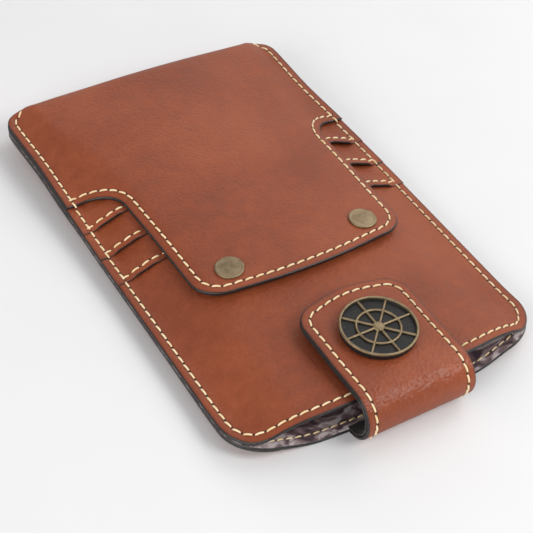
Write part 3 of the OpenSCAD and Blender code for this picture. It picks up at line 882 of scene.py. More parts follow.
def painted_board(tree, place):
    """A painted plaster board: off-white, matt, faintly mottled."""
    mottle = add(tree, "ShaderNodeTexNoise", {"Vector": place, "Scale": 1 / 0.05, "Detail": 6}).outputs["Fac"]
    tint = add(tree, "ShaderNodeValToRGB", {"Fac": mottle},
               [(0, linear("#E4E3E3")), (1, linear("#EBEAEA"))]).outputs[0]
    bump = add(tree, "ShaderNodeBump", {"Height": mottle, "Strength": 0.1, "Distance": 0.0005}).outputs[0]
    return {"Base Color": tint, "Normal": bump, "Roughness": 0.85}


def leathers():
    """The materials of a leather sheet: grain side, painted edge and flesh side."""
    return [material(cognac_calf), material(black_edge_paint), material(black_suede_split)]


def backings():
    """The materials of a dark lining leather."""
    return [material(black_suede_split), material(black_edge_paint), material(black_suede_split)]


def cloths():
    """The materials of a printed lining."""
    return [material(marbled_cotton_print)] * 3


# ---------------------------------------------------------------- stitches and spokes


def new_tree(name, inputs):
    """An empty geometry tree with named inputs, given as (name, socket type, default)."""
    tree = bpy.data.node_groups.new(name, "GeometryNodeTree")
    tree.interface.new_socket("Geometry", in_out="INPUT", socket_type="NodeSocketGeometry")
    for title, kind, default in inputs:
        socket = tree.interface.new_socket(title, in_out="INPUT", socket_type=kind)
        if default is not None:
            socket.default_value = default
    tree.interface.new_socket("Geometry", in_out="OUTPUT", socket_type="NodeSocketGeometry")
    return tree


def laid_out(tree, shape, points, turn, finish):
    """Copies of a shape on points, smooth and in a finish, as plain meshes."""
    shape = add(tree, "GeometryNodeSetShadeSmooth", {"Geometry": shape}).outputs[0]
    laid = add(tree, "GeometryNodeInstanceOnPoints",
               {"Points": points, "Instance": shape, "Rotation": turn}).outputs[0]
    laid = add(tree, "GeometryNodeRealizeInstances", {"Geometry": laid}).outputs[0]
    return add(tree, "GeometryNodeSetMaterial", {"Geometry": laid, "Material": finish}).outputs[0]


def stitch_tree():
    """Stitches laid along a path: an arch of thread at each step and a needle hole between two, drawn dark as
    painted shade.
    """
    name = "saddle_stitches"
    if bpy.data.node_groups.get(name):
        return bpy.data.node_groups[name]
    number, whole = "NodeSocketFloat", "NodeSocketInt"
    tree = new_tree(name, [("Pitch", number, 0.0036), ("Reach", number, 0.0026), ("Thread", number, 0.0007),
                           ("Hole", number, 0.0008), ("Slant", number, 0.1), ("Facets", whole, 8),
                           ("Thread Material", "NodeSocketMaterial", None),
                           ("Hole Material", "NodeSocketMaterial", None)])
    given = add(tree, "NodeGroupInput").outputs
    path = add(tree, "GeometryNodeMeshToCurve", {"Mesh": given["Geometry"]}).outputs[0]
    steps = add(tree, "GeometryNodeResampleCurve", {"Curve": path, "Length": given["Pitch"]},
                mode="LENGTH").outputs[0]
    along = add(tree, "GeometryNodeInputTangent").outputs[0]
    up = add(tree, "GeometryNodeInputNamedAttribute", {"Name": "up"}, data_type="FLOAT_VECTOR").outputs[0]
    turn = add(tree, "FunctionNodeAlignRotationToVector", {"Vector": up}, axis="Z").outputs[0]
    turn = add(tree, "FunctionNodeAlignRotationToVector", {"Rotation": turn, "Vector": along},
               axis="X", pivot_axis="Z").outputs[0]
    lean = add(tree, "ShaderNodeCombineXYZ", {"Z": given["Slant"]}).outputs[0]
    lean = add(tree, "FunctionNodeEulerToRotation", {0: lean}).outputs[0]
    turn = add(tree, "FunctionNodeRotateRotation", {"Rotation": turn, "Rotate By": lean},
               rotation_space="LOCAL").outputs[0]

    half = add(tree, "ShaderNodeMath", {0: given["Reach"], 1: 0.5}, operation="MULTIPLY").outputs[0]
    back = add(tree, "ShaderNodeMath", {0: half, 1: -1.0}, operation="MULTIPLY").outputs[0]
    sink = add(tree, "ShaderNodeMath", {0: given["Thread"], 1: -0.35}, operation="MULTIPLY").outputs[0]
    rise = add(tree, "ShaderNodeMath", {0: given["Thread"], 1: 0.75}, operation="MULTIPLY").outputs[0]
    start = add(tree, "ShaderNodeCombineXYZ", {"X": back, "Z": sink}).outputs[0]
    top = add(tree, "ShaderNodeCombineXYZ", {"Z": rise}).outputs[0]
    end = add(tree, "ShaderNodeCombineXYZ", {"X": half, "Z": sink}).outputs[0]
    arch = add(tree, "GeometryNodeCurveQuadraticBezier",
               {"Resolution": 8, "Start": start, "Middle": top, "End": end}).outputs[0]
    share = add(tree, "GeometryNodeSplineParameter").outputs["Factor"]
    swing = add(tree, "ShaderNodeMath", {0: share, 1: 2.0, 2: -1.0}, operation="MULTIPLY_ADD").outputs[0]
    swing = add(tree, "ShaderNodeMath", {0: swing}, operation="ABSOLUTE").outputs[0]
    swing = add(tree, "ShaderNodeMath", {0: swing, 1: 5.0}, operation="POWER").outputs[0]
    plump = add(tree, "ShaderNodeMath", {0: swing, 1: -0.62, 2: 1.0}, operation="MULTIPLY_ADD").outputs[0]
    arch = add(tree, "GeometryNodeSetCurveRadius", {"Curve": arch, "Radius": plump}).outputs[0]
    radius = add(tree, "ShaderNodeMath", {0: given["Thread"], 1: 0.5}, operation="MULTIPLY").outputs[0]
    round_of = add(tree, "GeometryNodeCurvePrimitiveCircle",
                   {"Resolution": given["Facets"], "Radius": radius}).outputs[0]
    tube = add(tree, "GeometryNodeCurveToMesh", {"Curve": arch, "Profile Curve": round_of, "Scale": plump,
                                                 "Fill Caps": True}).outputs[0]

    between = add(tree, "ShaderNodeMath", {0: given["Pitch"], 1: 0.5}, operation="MULTIPLY").outputs[0]
    between = add(tree, "ShaderNodeCombineXYZ", {"X": between}).outputs[0]
    length = add(tree, "ShaderNodeMath", {0: given["Hole"], 1: 1.25}, operation="MULTIPLY").outputs[0]
    low = add(tree, "ShaderNodeMath", {0: given["Hole"], 1: 0.16}, operation="MULTIPLY").outputs[0]
    shape = add(tree, "ShaderNodeCombineXYZ", {"X": length, "Y": given["Hole"], "Z": low}).outputs[0]
    dot = add(tree, "GeometryNodeMeshUVSphere", {"Segments": 10, "Rings": 4, "Radius": 0.5}).outputs[0]
    dot = add(tree, "GeometryNodeTransform",
              {"Geometry": dot, "Translation": between, "Scale": shape}).outputs[0]
    both = add(tree, "GeometryNodeJoinGeometry")
    for shape, finish in ((tube, given["Thread Material"]), (dot, given["Hole Material"])):
        connect(tree, both, {0: laid_out(tree, shape, steps, turn, finish)})
    add(tree, "NodeGroupOutput", {0: both.outputs[0]})
    return tree


def spoke_tree():
    """Equal bars set round a centre, each rounded on top."""
    number, whole = "NodeSocketFloat", "NodeSocketInt"
    tree = new_tree("wheel_spokes", [("Count", whole, 8), ("Inner", number, 0.001), ("Outer", number, 0.01),
                                     ("Width", number, 0.0008), ("Material", "NodeSocketMaterial", None)])
    given = add(tree, "NodeGroupInput").outputs
    start = add(tree, "ShaderNodeCombineXYZ", {"X": given["Inner"]}).outputs[0]
    end = add(tree, "ShaderNodeCombineXYZ", {"X": given["Outer"]}).outputs[0]
    line = add(tree, "GeometryNodeCurvePrimitiveLine", {"Start": start, "End": end}).outputs[0]
    radius = add(tree, "ShaderNodeMath", {0: given["Width"], 1: 0.5}, operation="MULTIPLY").outputs[0]
    round_of = add(tree, "GeometryNodeCurvePrimitiveCircle", {"Resolution": 12, "Radius": radius}).outputs[0]
    bar = add(tree, "GeometryNodeCurveToMesh",
              {"Curve": line, "Profile Curve": round_of, "Fill Caps": True}).outputs[0]
    hub = add(tree, "GeometryNodePoints", {"Count": given["Count"]}).outputs[0]
    index = add(tree, "GeometryNodeInputIndex").outputs[0]
    share = add(tree, "ShaderNodeMath", {0: index, 1: given["Count"]}, operation="DIVIDE").outputs[0]
    angle = add(tree, "ShaderNodeMath", {0: share, 1: 2 * math.pi}, operation="MULTIPLY").outputs[0]
    turn = add(tree, "ShaderNodeCombineXYZ", {"Z": angle}).outputs[0]
    turn = add(tree, "FunctionNodeEulerToRotation", {0: turn}).outputs[0]
    add(tree, "NodeGroupOutput", {0: laid_out(tree, bar, hub, turn, given["Material"])})
    return tree


def grown(name, obj, tree, values):
    """The plain mesh that a tree makes on an object, which is then removed."""
    modifier = obj.modifiers.new(tree.name, "NODES")
    modifier.node_group = tree
    sockets = {item.name: item.identifier for item in tree.interface.items_tree if item.in_out == "INPUT"}
    for title, value in values.items():
        modifier[sockets[title]] = value
    bpy.context.view_layer.update()
    graph = bpy.context.evaluated_depsgraph_get()
    mesh = bpy.data.meshes.new_from_object(obj.evaluated_get(graph))
    mesh.name = name
    bpy.data.objects.remove(obj)
    made = bpy.data.objects.new(name, mesh)
    bpy.context.scene.collection.objects.link(made)
    if not mesh.polygons:
        raise RuntimeError(f"{name} has no faces")
    return made


# The points of a line of stitches are this many millimetres apart.
PATH_STEP = 0.4


def stitches(name, lines, thread=1.0):
    """Stitches along lines, each given as (places, normals) in millimetres."""
    verts, edges, ups = [], [], []
    for places, normals in lines:
        base = len(verts)
        verts += [tuple(p * MM) for p in places]
        ups += [tuple(n) for n in normals]
        edges += [(base + i, base + i + 1) for i in range(len(places) - 1)]
    mesh = bpy.data.meshes.new(name)
    mesh.from_pydata(verts, edges, [])
    up = mesh.attributes.new("up", "FLOAT_VECTOR", "POINT")
    up.data.foreach_set("vector", np.array(ups, np.float32).ravel())
    path = bpy.data.objects.new(name + "_path", mesh)
    bpy.context.scene.collection.objects.link(path)
    s = settings().stitch
    values = {"Pitch": s.pitch * thread, "Reach": s.reach * thread, "Thread": s.thread * thread,
              "Hole": s.hole * thread, "Slant": 0.09, "Facets": s.facets,
              "Thread Material": material(waxed_cream_thread),
              "Hole Material": material(needle_hole)}
    made = grown(name, path, stitch_tree(), values)
    return made


# ---------------------------------------------------------------- the pieces


class WALLET_OT_sleeve(bpy.types.Operator):
    """Leather that folds round the far end, its flap and the front under it"""

    bl_idname = "wallet.sleeve"
    bl_label = "Sleeve leather"

    def execute(self, context):
        sleeve = Sleeve()
        s = sleeve.s
        cut = s.shoulder + 3
        end = sleeve.fold_end + sleeve.fold_start
        y = np.concatenate([np.linspace(cut, sleeve.fold_start - 2, 40),
                            np.linspace(sleeve.fold_start - 1, s.far, 60)])
        half = sleeve.side(y)
        side = np.stack([half, sleeve.along_of(half, y)], -1)
        far_side = np.stack([half, sleeve.along_of(half, y, True)], -1)[::-1]
        mouth = sleeve.mouth_edge(sleeve.setback["back"])
        mouth = np.stack([mouth[:, 0], end - mouth[:, 1]], -1)[::-1]
        right = np.concatenate([side, far_side[1:], [mouth[0]]])
        wrap = [("join", [side[0] * (-1, 1), side[0]]), ("edge", right), ("edge", mouth),
                ("edge", right[::-1] * (-1, 1))]
        surfaces = sleeve.wrap_surface(), sleeve.wrap_surface(True)
        piece = sheet("sleeve_leather", wrap, *surfaces, leathers())
        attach(piece, "sleeve")
        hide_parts("back_panel", "flap_panel")

        edge = sleeve.tongue_edge()
        corner = np.array([float(sleeve.side(s.shoulder)), s.shoulder])
        tongue = [("edge", [side[0] * (-1, 1), corner * (-1, 1)]),
                  ("edge", np.concatenate([[corner * (-1, 1)], edge, [corner]])),
                  ("edge", [corner, side[0]]), ("join", [side[0], side[0] * (-1, 1)])]
        piece = sheet("tongue_leather", tongue, *surfaces, leathers())
        hinge_in_flap(piece)
        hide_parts("flap_tongue")

        front = front_outline(sleeve, "front", sleeve.fold_start + 5)
        piece = sheet("front_leather", front, sleeve.layer("front"), sleeve.layer("front", True), leathers())
        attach(piece, "sleeve")
        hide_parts("front_panel")
        return {"FINISHED"}


def hinge_in_flap(piece):
    """Bakes the placement of a piece of the flap into its mesh."""
    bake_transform(piece)


def front_outline(sleeve, layer, far, kind="edge", inset=0.0):
    """The outline of a layer from the mouth to where it ends under the fold."""
    mouth = sleeve.mouth_edge(sleeve.setback[layer], inset)
    y = np.concatenate([[mouth[-1, 1]], np.linspace(mouth[-1, 1] + 1, far, 150)])
    right = np.stack([sleeve.side(y, inset), y], -1)
    across = [right[-1], right[-1] * (-1, 1)]
    return [(kind, mouth), (kind, right), ("raw", across), (kind, right[::-1] * (-1, 1))]


class WALLET_OT_linings(bpy.types.Operator):
    """Printed linings of the phone pocket and the dark lining of the flap"""

    bl_idname = "wallet.linings"
    bl_label = "Linings"

    def execute(self, context):
        sleeve = Sleeve()
        s = sleeve.s
        outline = front_outline(sleeve, "front_lining", sleeve.fold_start + 3, "raw", 0.35)
        piece = sheet("front_lining_print", outline, sleeve.layer("front_lining"),
                      sleeve.layer("front_lining", True), cloths(), cell=2.0, rounding=0.12)
        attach(piece, "sleeve")
        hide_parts("front_lining")

        outline = front_outline(sleeve, "back_lining", sleeve.fold_start + 3, "raw", 0.2)
        heights = sleeve.layers.of["back_lining"]
        piece = sheet("back_lining_print", outline, sleeve.back_surface(*heights[:2]),
                      sleeve.back_surface(*heights[2:]), cloths(), cell=2.0, rounding=0.1)
        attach(piece, "sleeve")
        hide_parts("back_lining")

        set_in = 0.35
        edge = sleeve.tongue_edge(set_in)
        y = np.linspace(s.shoulder + set_in, sleeve.fold_start + 3, 70)
        right = np.stack([sleeve.side(y, set_in) - set_in, y], -1)
        low = np.concatenate([[right[0] * (-1, 1)], edge, [right[0]]])
        outline = [("edge", low), ("edge", right), ("raw", [right[-1], right[-1] * (-1, 1)]),
                   ("edge", right[::-1] * (-1, 1))]
        piece = sheet("flap_lining_leather", outline, sleeve.layer("flap_lining"),
                      sleeve.layer("flap_lining", True), backings(), cell=1.7, rounding=0.14, groove=0)
        hinge_in_flap(piece)
        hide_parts("flap_lining", "tongue_lining")
        return {"FINISHED"}


class WALLET_OT_card_slots(bpy.types.Operator):
    """Three leather card slots that overlap under the flap like shingles"""

    bl_idname = "wallet.card_slots"
    bl_label = "Card slots"

    def execute(self, context):
        sleeve = Sleeve()
        for i, name in enumerate(("upper", "middle", "lower")):
            y = np.linspace(sleeve.slot(i + 1), sleeve.fold_start + 3.5, 130)
            right = np.stack([sleeve.side(y), y], -1)
            outline = [("edge", [right[0] * (-1, 1), right[0]]), ("edge", right),
                       ("raw", [right[-1], right[-1] * (-1, 1)]), ("edge", right[::-1] * (-1, 1))]
            piece = sheet("card_slot_" + name, outline, sleeve.layer(("pocket", i)),
                          sleeve.layer(("pocket", i), True), leathers(), cell=1.6, rounding=0.2, groove=0.06)
            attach(piece, "sleeve")
            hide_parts("card_pocket_" + name)
        return {"FINISHED"}


class WALLET_OT_seam_core(bpy.types.Operator):
    """The inside of the side seams, between the layers, where their edges are glued and painted"""

    bl_idname = "wallet.seam_core"
    bl_label = "Seam core"

    def execute(self, context):
        sleeve = Sleeve()
        s = sleeve.s
        start = s.mouth + s.mouth_crown + s.mouth_corner
        turn = s.far - s.corner
        y = np.concatenate([np.linspace(start, turn, 150)[:-1],
                            turn + s.corner * np.sin(np.linspace(0, 1.55, 40))])
        within = np.maximum(y - sleeve.fold_start, 0) * s.skin / s.fold
        set_in, width, below = 0.45, 2.4, -1.8
        outer = np.stack([sleeve.side(y) - set_in, y - within], -1)
        away = outer - np.stack([np.full(len(y), s.half - s.corner - 1), np.minimum(y, turn)], -1)
        inner = outer - width * away / np.linalg.norm(away, axis=1)[:, None]
        # Each card slot adds its leather to the seam, and the flap adds one more.
        top = sleeve.seam + 1.5 + 0.3 * sum((y > sleeve.slot(i) + 0.4).astype(float) for i in (1, 2, 3))
        top = top + 0.5 * ease((y - s.shoulder - 1) / 1)
        above = top - sleeve.seam
        for name, sign in (("left", -1), ("right", 1)):
            rings = []
            for line, height in ((outer, below), (outer, above), (inner, above), (inner, below)):
                x, y = line.T
                z = sleeve.seam + sleeve.seam_rise(y) + height * sleeve.fold_height(x, y, s.skin)
                rings.append(np.stack([sign * x + sleeve.sway(y), y, z], -1))
            verts = np.concatenate(rings)
            count = len(y)
            faces = [(0, count, 2 * count, 3 * count), tuple(k * count + count - 1 for k in (3, 2, 1, 0))]
            for k in range(4):
                j = (k + 1) % 4
                faces += [(k * count + i, k * count + i + 1, j * count + i + 1, j * count + i)
                          for i in range(count - 1)]
            if sign < 0:
                faces = [face[::-1] for face in faces]
            piece = new_object("seam_core_" + name, verts, faces, [material(black_edge_paint)])
            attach(piece, "sleeve")
        return {"FINISHED"}


class WALLET_OT_strap(bpy.types.Operator):
    """The strap that turns round the mouth, in leather with a dark backing"""

    bl_idname = "wallet.strap"
    bl_label = "Strap"

    def execute(self, context):
        strap = Strap()
        s = strap.s
        for name, depths, made_of, nodes, slot in (
                ("leather", (0.0, s.skin), leathers(), ("strap_band", "strap_tab"), "tan_leather"),
                ("backing", (s.skin + 0.02, s.skin + s.backing), backings(),
                 ("strap_band_lining", "strap_tab_lining"), "dark_leather")):
            surfaces = [strap.surface(depth) for depth in depths]
            wide = s.half
            root = strap.root + (1.0 if name == "backing" else 0.0)
            low = [("raw", [(-wide, root), (wide, root)]), ("edge", [(wide, root), (wide, 0)]),
                   ("join", [(wide, 0), (-wide, 0)]), ("edge", [(-wide, 0), (-wide, root)])]
            edge = strap.edge()
            high = [("join", [(-wide, 0), (wide, 0)]),
                    ("edge", np.concatenate([[(wide, 0)], edge, [(-wide, 0)]]))]
            pressed = 0.14 if name == "leather" else 0
            piece = sheet("strap_root_" + name, low, *surfaces, made_of, cell=1.0, groove=pressed,
                          bent=strap.bent)
            bend_low(piece, strap)
            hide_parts(nodes[0], *(["strap_root_lining"] if name == "backing" else []))
            piece = sheet("strap_end_" + name, high, *surfaces, made_of, cell=1.0, groove=pressed,
                          bent=strap.bent)
            bend_high(piece, strap)
            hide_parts(nodes[1])
        return {"FINISHED"}


def on_bend(strap, degrees):
    """A point of the strap's bend in metres, where 0 degrees faces out of the mouth and 90 is the front."""
    turn = math.radians(degrees)
    radius = strap.radius - strap.s.skin
    return (0, (strap.centre - radius * math.cos(turn)) * MM, (strap.radius + radius * math.sin(turn)) * MM)


def bend_low(piece, strap):
    """Bakes the placement of a piece of the strap's root into its mesh; the two points of its lower bend that
    it works out are not used.
    """
    on_bend(strap, -62)
    on_bend(strap, -28)
    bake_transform(piece)


def bend_high(piece, strap):
    """Bakes the placement of a piece of the strap's end into its mesh; the two points of its upper bend that
    it works out are not used.
    """
    on_bend(strap, 28)
    on_bend(strap, 62)
    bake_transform(piece)


class WALLET_OT_stitching(bpy.types.Operator):
    """Cream stitches along the seams, the slots, the flap and the strap"""

    bl_idname = "wallet.stitching"
    bl_label = "Stitching"

    def execute(self, context):
        sleeve, strap = Sleeve(), Strap()
        lines = side_lines(sleeve) + slot_lines(sleeve) + back_lines(sleeve)
        piece = stitches("sleeve_stitches", lines)
        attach(piece, "sleeve")
        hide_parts("side_thread_left", "side_thread_right", "mouth_thread_front",
                    "pocket_thread_upper", "pocket_thread_middle", "pocket_thread_lower")
        piece = stitches("lining_stitches", lining_lines(sleeve), 0.85)
        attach(piece, "sleeve")
        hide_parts("mouth_thread_back")

        s = sleeve.s
        edge = sleeve.tongue_edge(s.inset)
        line = np.concatenate([[(-s.half + s.inset, edge[0, 1])], edge, [(s.half - s.inset, edge[-1, 1])]])
        line = spaced(line, PATH_STEP)[4:-4]
        piece = stitches("flap_stitches", [on_surface(sleeve.wrap_surface(), *line.T)])
        hinge_in_flap(piece)
        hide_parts("flap_thread", "tongue_thread")

        inset = s.inset
        wide = strap.s.half - inset
        outside = strap.surface(0)
        edge = strap.edge(inset)
        over = spaced(np.concatenate([[(wide, 0.3)], edge, [(-wide, 0.3)]]), PATH_STEP)
        piece = stitches("strap_end_stitches", [on_surface(outside, *over.T)])
        bend_high(piece, strap)
        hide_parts("strap_tab_thread")
        lines = []
        for sign in (-1, 1):
            side = spaced([(sign * wide, strap.root + 5), (sign * wide, -1.8)], PATH_STEP)
            lines.append(on_surface(outside, *side.T))
        piece = stitches("strap_root_stitches", lines)
        bend_low(piece, strap)
        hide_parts("strap_band_thread")
        return {"FINISHED"}


def side_lines(sleeve):
    """One line down the left seam, along the front's mouth edge and up the right seam."""
    s = sleeve.s
    radius = s.corner - s.inset
    turn = np.linspace(1.2, 0, 14)
    y = s.far - s.corner + radius * np.sin(turn)
    corner = np.stack([sleeve.side(y, s.inset), y], -1)
    mouth = sleeve.mouth_edge(sleeve.setback["front"], s.inset)
    y = np.linspace(s.far - s.corner - 0.5, mouth[-1, 1], 80)
    right = np.concatenate([corner, np.stack([sleeve.side(y) - s.inset, y], -1)])
    left = right * (-1, 1)
    path = spaced(np.concatenate([left, mouth[1:-1], right[::-1]]), PATH_STEP)
    surfaces = [sleeve.wrap_surface(), *(sleeve.layer(("pocket", i)) for i in range(3)),
                sleeve.layer("front")]
    layer = sum((path[:, 1] < sleeve.slot(i)).astype(int) for i in range(4))
    places, normals = np.zeros((len(path), 3)), np.zeros((len(path), 3))
    for k, surface in enumerate(surfaces):
        here = layer == k
        x, y = path[here].T
        places[here], normals[here] = on_surface(surface, x, y if k else sleeve.along_of(x, y))
    return [(places, normals)]


def slot_lines(sleeve):
    """A line behind the edge of each card slot, on both sides of the tongue."""
    s = sleeve.s
    behind = 2.4
    lines = []
    for i in range(3):
        slot = sleeve.slot(i + 1)
        surface = sleeve.layer(("pocket", i))
        for sign in (-1, 1):
            start = s.half - s.inset - 1.2
            end = start - 4 * settings().stitch.pitch / MM
            path = spaced([(sign * start, slot + behind), (sign * end, slot + behind)], PATH_STEP)
            lines.append(on_surface(surface, *path.T))
    return lines


def back_lines(sleeve):
    """The same seams seen on the back, and round its mouth edge up to the strap."""
    s = sleeve.s
    surface = sleeve.wrap_surface()
    end = sleeve.fold_end + sleeve.fold_start
    mouth = sleeve.mouth_edge(sleeve.setback["back"], s.inset)
    # The thread is pulled into the back until it stands just proud of the leather.
    sunk = 0.36
    lines = []
    for sign in (-1, 1):
        edge = mouth[mouth[:, 0] > in_mm(settings().strap).half + 1]
        y = np.linspace(edge[-1, 1] + 1, s.far - s.corner, 80)
        path = np.concatenate([edge, np.stack([sleeve.side(y) - s.inset, y], -1)]) * (sign, 1)
        path = spaced(path, PATH_STEP)
        place, normal = on_surface(surface, path[:, 0], end - path[:, 1])
        lines.append((place - sunk * normal, normal))
    return lines


def lining_lines(sleeve):
    """The stitches of the back's mouth edge where they come through its lining."""
    s = sleeve.s
    surface = sleeve.back_surface(*sleeve.layers.of["back_lining"][:2])
    mouth = sleeve.mouth_edge(sleeve.setback["back"], s.inset)
    mouth = mouth[np.abs(mouth[:, 0]) < s.half - 9]
    return [on_surface(surface, *spaced(mouth, PATH_STEP).T)]


class WALLET_OT_snaps(bpy.types.Operator):
    """Brass caps of the two snaps, low on the flap"""

    bl_idname = "wallet.snaps"
    bl_label = "Snaps"

    def execute(self, context):
        sleeve = Sleeve()
        radius = in_mm(settings().strap).cap / 2
        profile = [(0, -0.5), (radius - 0.4, -0.5), (radius - 0.1, -0.05), (radius, 0.15), (radius, 0.42)]
        for turn in np.radians([20, 45, 70, 90]):
            profile.append((radius - 0.42 * (1 - math.cos(turn)), 0.42 + 0.38 * math.sin(turn)))
        profile += [(radius - 0.75, 0.76), (radius - 1.1, 0.74), (radius * 0.6, 0.84), (radius * 0.3, 0.9),
                    (0, 0.92)]
        for name in ("left", "right"):
            node = "snap_cap_" + name
            x, y = middle(node, "x") / MM, middle(node, "y") / MM
            place, normal = on_surface(sleeve.wrap_surface(), x, y)
            verts, faces = lathe(profile)
            piece = new_object("snap_cap_brass_" + name, set_square(verts, place, normal), faces,
                               [material(aged_brass)], crease=60)
            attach(piece, "tongue")
            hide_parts(node)
        return {"FINISHED"}


class WALLET_OT_fittings(bpy.types.Operator):
    """Finish of the snap sockets, the studs and the magnetic closure"""

    bl_idname = "wallet.fittings"
    bl_label = "Hidden fittings"

    def execute(self, context):
        brass = material(aged_brass)
        nickel = material(tumbled_nickel)
        for name, node in frame["nodes"].items():
            if name.startswith(("magnet_socket", "magnet_stud")) and not name.endswith("washer"):
                node.material_slots[0].material = brass
            elif name.startswith(("snap_socket", "snap_stud", "snap_post")) or name.endswith("washer"):
                node.material_slots[0].material = nickel
        return {"FINISHED"}


class WALLET_OT_medallion(bpy.types.Operator):
    """The medallion: a blackened body, a brass rim and a wheel of eight plain spokes"""

    bl_idname = "wallet.medallion"
    bl_label = "Medallion"

    def execute(self, context):
        radius = in_mm(settings().strap).medallion / 2
        base = lowest("medallion_body", "z") / MM
        ground = highest("medallion_body", "z") / MM - base
        top = highest("medallion_relief", "z") / MM - base
        centre = np.array([0, middle("medallion_body", "y") / MM, base])
        body = [(0, 0), (radius - 0.75, 0), (radius - 0.35, 0.25), (radius - 0.15, 0.7),
                (radius - 0.12, ground + 0.1), (radius - 0.3, ground + 0.2), (radius - 0.75, ground + 0.15),
                (radius - 1.0, ground - 0.25), (radius * 0.5, ground - 0.3), (0, ground - 0.3)]
        verts, faces = lathe(body, 96)
        piece = new_object("medallion_black", verts + centre, faces, [material(blackened_metal)])
        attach(piece, "strap_end")
        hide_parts("medallion_body")

        rim_low = ground + 0.1
        rim = [(radius - 0.85, rim_low), (radius - 0.12, rim_low), (radius, rim_low + 0.15),
               (radius, top - 0.35), (radius - 0.1, top - 0.12), (radius - 0.3, top), (radius - 0.6, top),
               (radius - 0.78, top - 0.12), (radius - 0.85, top - 0.35), (radius - 0.85, rim_low)]
        shapes = [lathe(rim, 96)]
        bar = 0.42
        ring = [(radius * 0.56 + bar * math.cos(t), ground + 0.02 + bar * math.sin(t))
                for t in np.linspace(0, 2 * math.pi, 11)]
        shapes.append(lathe(ring, 72))
        boss = [(0, ground - 0.35), (1.9, ground - 0.35), (1.95, ground + 0.25), (1.7, ground + 0.5),
                (1.1, ground + 0.62), (0, ground + 0.65)]
        shapes.append(lathe(boss, 36))
        verts, faces = joined_shapes(shapes)
        piece = new_object("medallion_brass", verts + centre, faces, [material(aged_brass)],
                           crease=50)
        close_seams(piece)
        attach(piece, "strap_end")
        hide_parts("medallion_relief")

        hub = new_object("hub", [(0, 0, 0)], [], [])
        values = {"Count": 8, "Inner": 1.2 * MM, "Outer": (radius - 0.7) * MM, "Width": 2 * bar * MM,
                  "Material": material(aged_brass)}
        spokes = grown("medallion_spokes", hub, spoke_tree(), values)
        spokes.data.transform(Matrix.Translation(Vector(centre + (0, 0, ground)) * MM))
        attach(spokes, "strap_end")
        return {"FINISHED"}


def close_seams(piece):
    """Merges the points where a ring's profile meets itself."""
    shape = bmesh.new()
    shape.from_mesh(piece.data)
    bmesh.ops.remove_doubles(shape, verts=shape.verts, dist=1e-6)
    bmesh.ops.recalc_face_normals(shape, faces=shape.faces)
    shape.to_mesh(piece.data)
    shape.free()


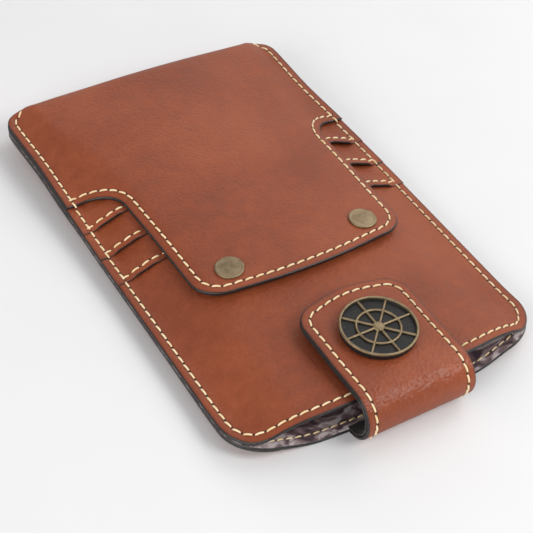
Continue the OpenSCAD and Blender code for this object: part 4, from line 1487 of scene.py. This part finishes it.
class WALLET_OT_stage(bpy.types.Operator):
    """A pale floor, four soft lamps, a pale room's light and the camera"""

    bl_idname = "wallet.stage"
    bl_label = "Stage"

    def execute(self, context):
        scene = context.scene
        far = 1500
        corners = [(-far, -far, 0), (far, -far, 0), (far, far, 0), (-far, far, 0)]
        floor = new_object("floor", corners, [(0, 1, 2, 3)], [material(painted_board)])
        # Each lamp's place and width in metres and its power in watts.
        lamps = (("window", (0.62, 0.2, 0.64), 0.7, 2.6), ("front_window", (0.33, -0.47, 0.57), 0.4, 2.7),
                 ("back_window", (0.4, 0.8, 0.4), 0.5, 1.0), ("side_wall", (-0.75, -0.3, 0.25), 0.8, 5.0))
        for name, place, size, power in lamps:
            lamp = bpy.data.lights.new(name, "AREA")
            lamp.shape = "DISK"
            lamp.size = size
            lamp.energy = power
            lit = bpy.data.objects.new(name, lamp)
            lit.location = place
            lit.rotation_euler = (-Vector(place)).to_track_quat("-Z", "Y").to_euler()
            scene.collection.objects.link(lit)
        world = bpy.data.worlds.new("pale_room")
        world.use_nodes = True
        connect(world.node_tree, world.node_tree.nodes["Background"],
                {"Color": (0.99, 0.99, 1.0, 1), "Strength": 0.46})
        scene.world = world
        scene.view_settings.view_transform = "Standard"

        view = bpy.data.cameras.new("camera")
        view.lens = 90.56
        view.sensor_width = 36
        eye = bpy.data.objects.new("camera", view)
        # The camera's turn about the case, its height and its tilt, then its aim and its distance.
        around, above, lean = map(math.radians, (-34.887, 44.378, 5.549))
        aim, away = Vector((-0.00886, -0.01822, 0.00592)), 0.447
        level = math.cos(above)
        back = Vector((math.sin(around) * level, -math.cos(around) * level, math.sin(above)))
        right = Vector((math.cos(around), math.sin(around), 0))
        up = back.cross(right)
        across = math.cos(lean) * right + math.sin(lean) * up
        upward = math.cos(lean) * up - math.sin(lean) * right
        turned = Matrix((across, upward, back)).transposed().to_4x4()
        eye.matrix_world = Matrix.Translation(aim + away * back) @ turned
        scene.collection.objects.link(eye)
        scene.camera = eye
        return {"FINISHED"}


class WALLET_PT_case(bpy.types.Panel):
    """The steps that make the wallet case, in order"""

    bl_idname = "WALLET_PT_case"
    bl_label = "Phone Wallet Case"
    bl_space_type = "VIEW_3D"
    bl_region_type = "UI"
    bl_category = "Wallet Case"

    def draw(self, context):
        for group in ("sleeve", "strap", "stitch", "finish"):
            box = self.layout.box()
            box.label(text=group.capitalize())
            values = getattr(context.scene.wallet_case, group)
            for name in values.__annotations__:
                box.prop(values, name)
        for step in STEPS:
            self.layout.operator(step.bl_idname)


STEPS = (WALLET_OT_sleeve, WALLET_OT_linings, WALLET_OT_card_slots, WALLET_OT_seam_core, WALLET_OT_strap,
         WALLET_OT_stitching, WALLET_OT_snaps, WALLET_OT_fittings, WALLET_OT_medallion, WALLET_OT_stage)
CLASSES = (SleeveSettings, StrapSettings, StitchSettings, FinishSettings, CaseSettings, *STEPS,
           WALLET_PT_case)


def register():
    """Adds the settings, the steps and their panel to Blender."""
    for cls in CLASSES:
        bpy.utils.register_class(cls)
    bpy.types.Scene.wallet_case = PointerProperty(type=CaseSettings)


def unregister():
    """Takes them out again."""
    del bpy.types.Scene.wallet_case
    for cls in reversed(CLASSES):
        bpy.utils.unregister_class(cls)


def main():
    """Makes every piece in order."""
    register()
    for step in STEPS:
        group, name = step.bl_idname.split(".")
        result = getattr(getattr(bpy.ops, group), name)()
        if "FINISHED" not in result:
            raise RuntimeError(f"{step.bl_label} didn't finish")


if __name__ == "__main__":
    main()
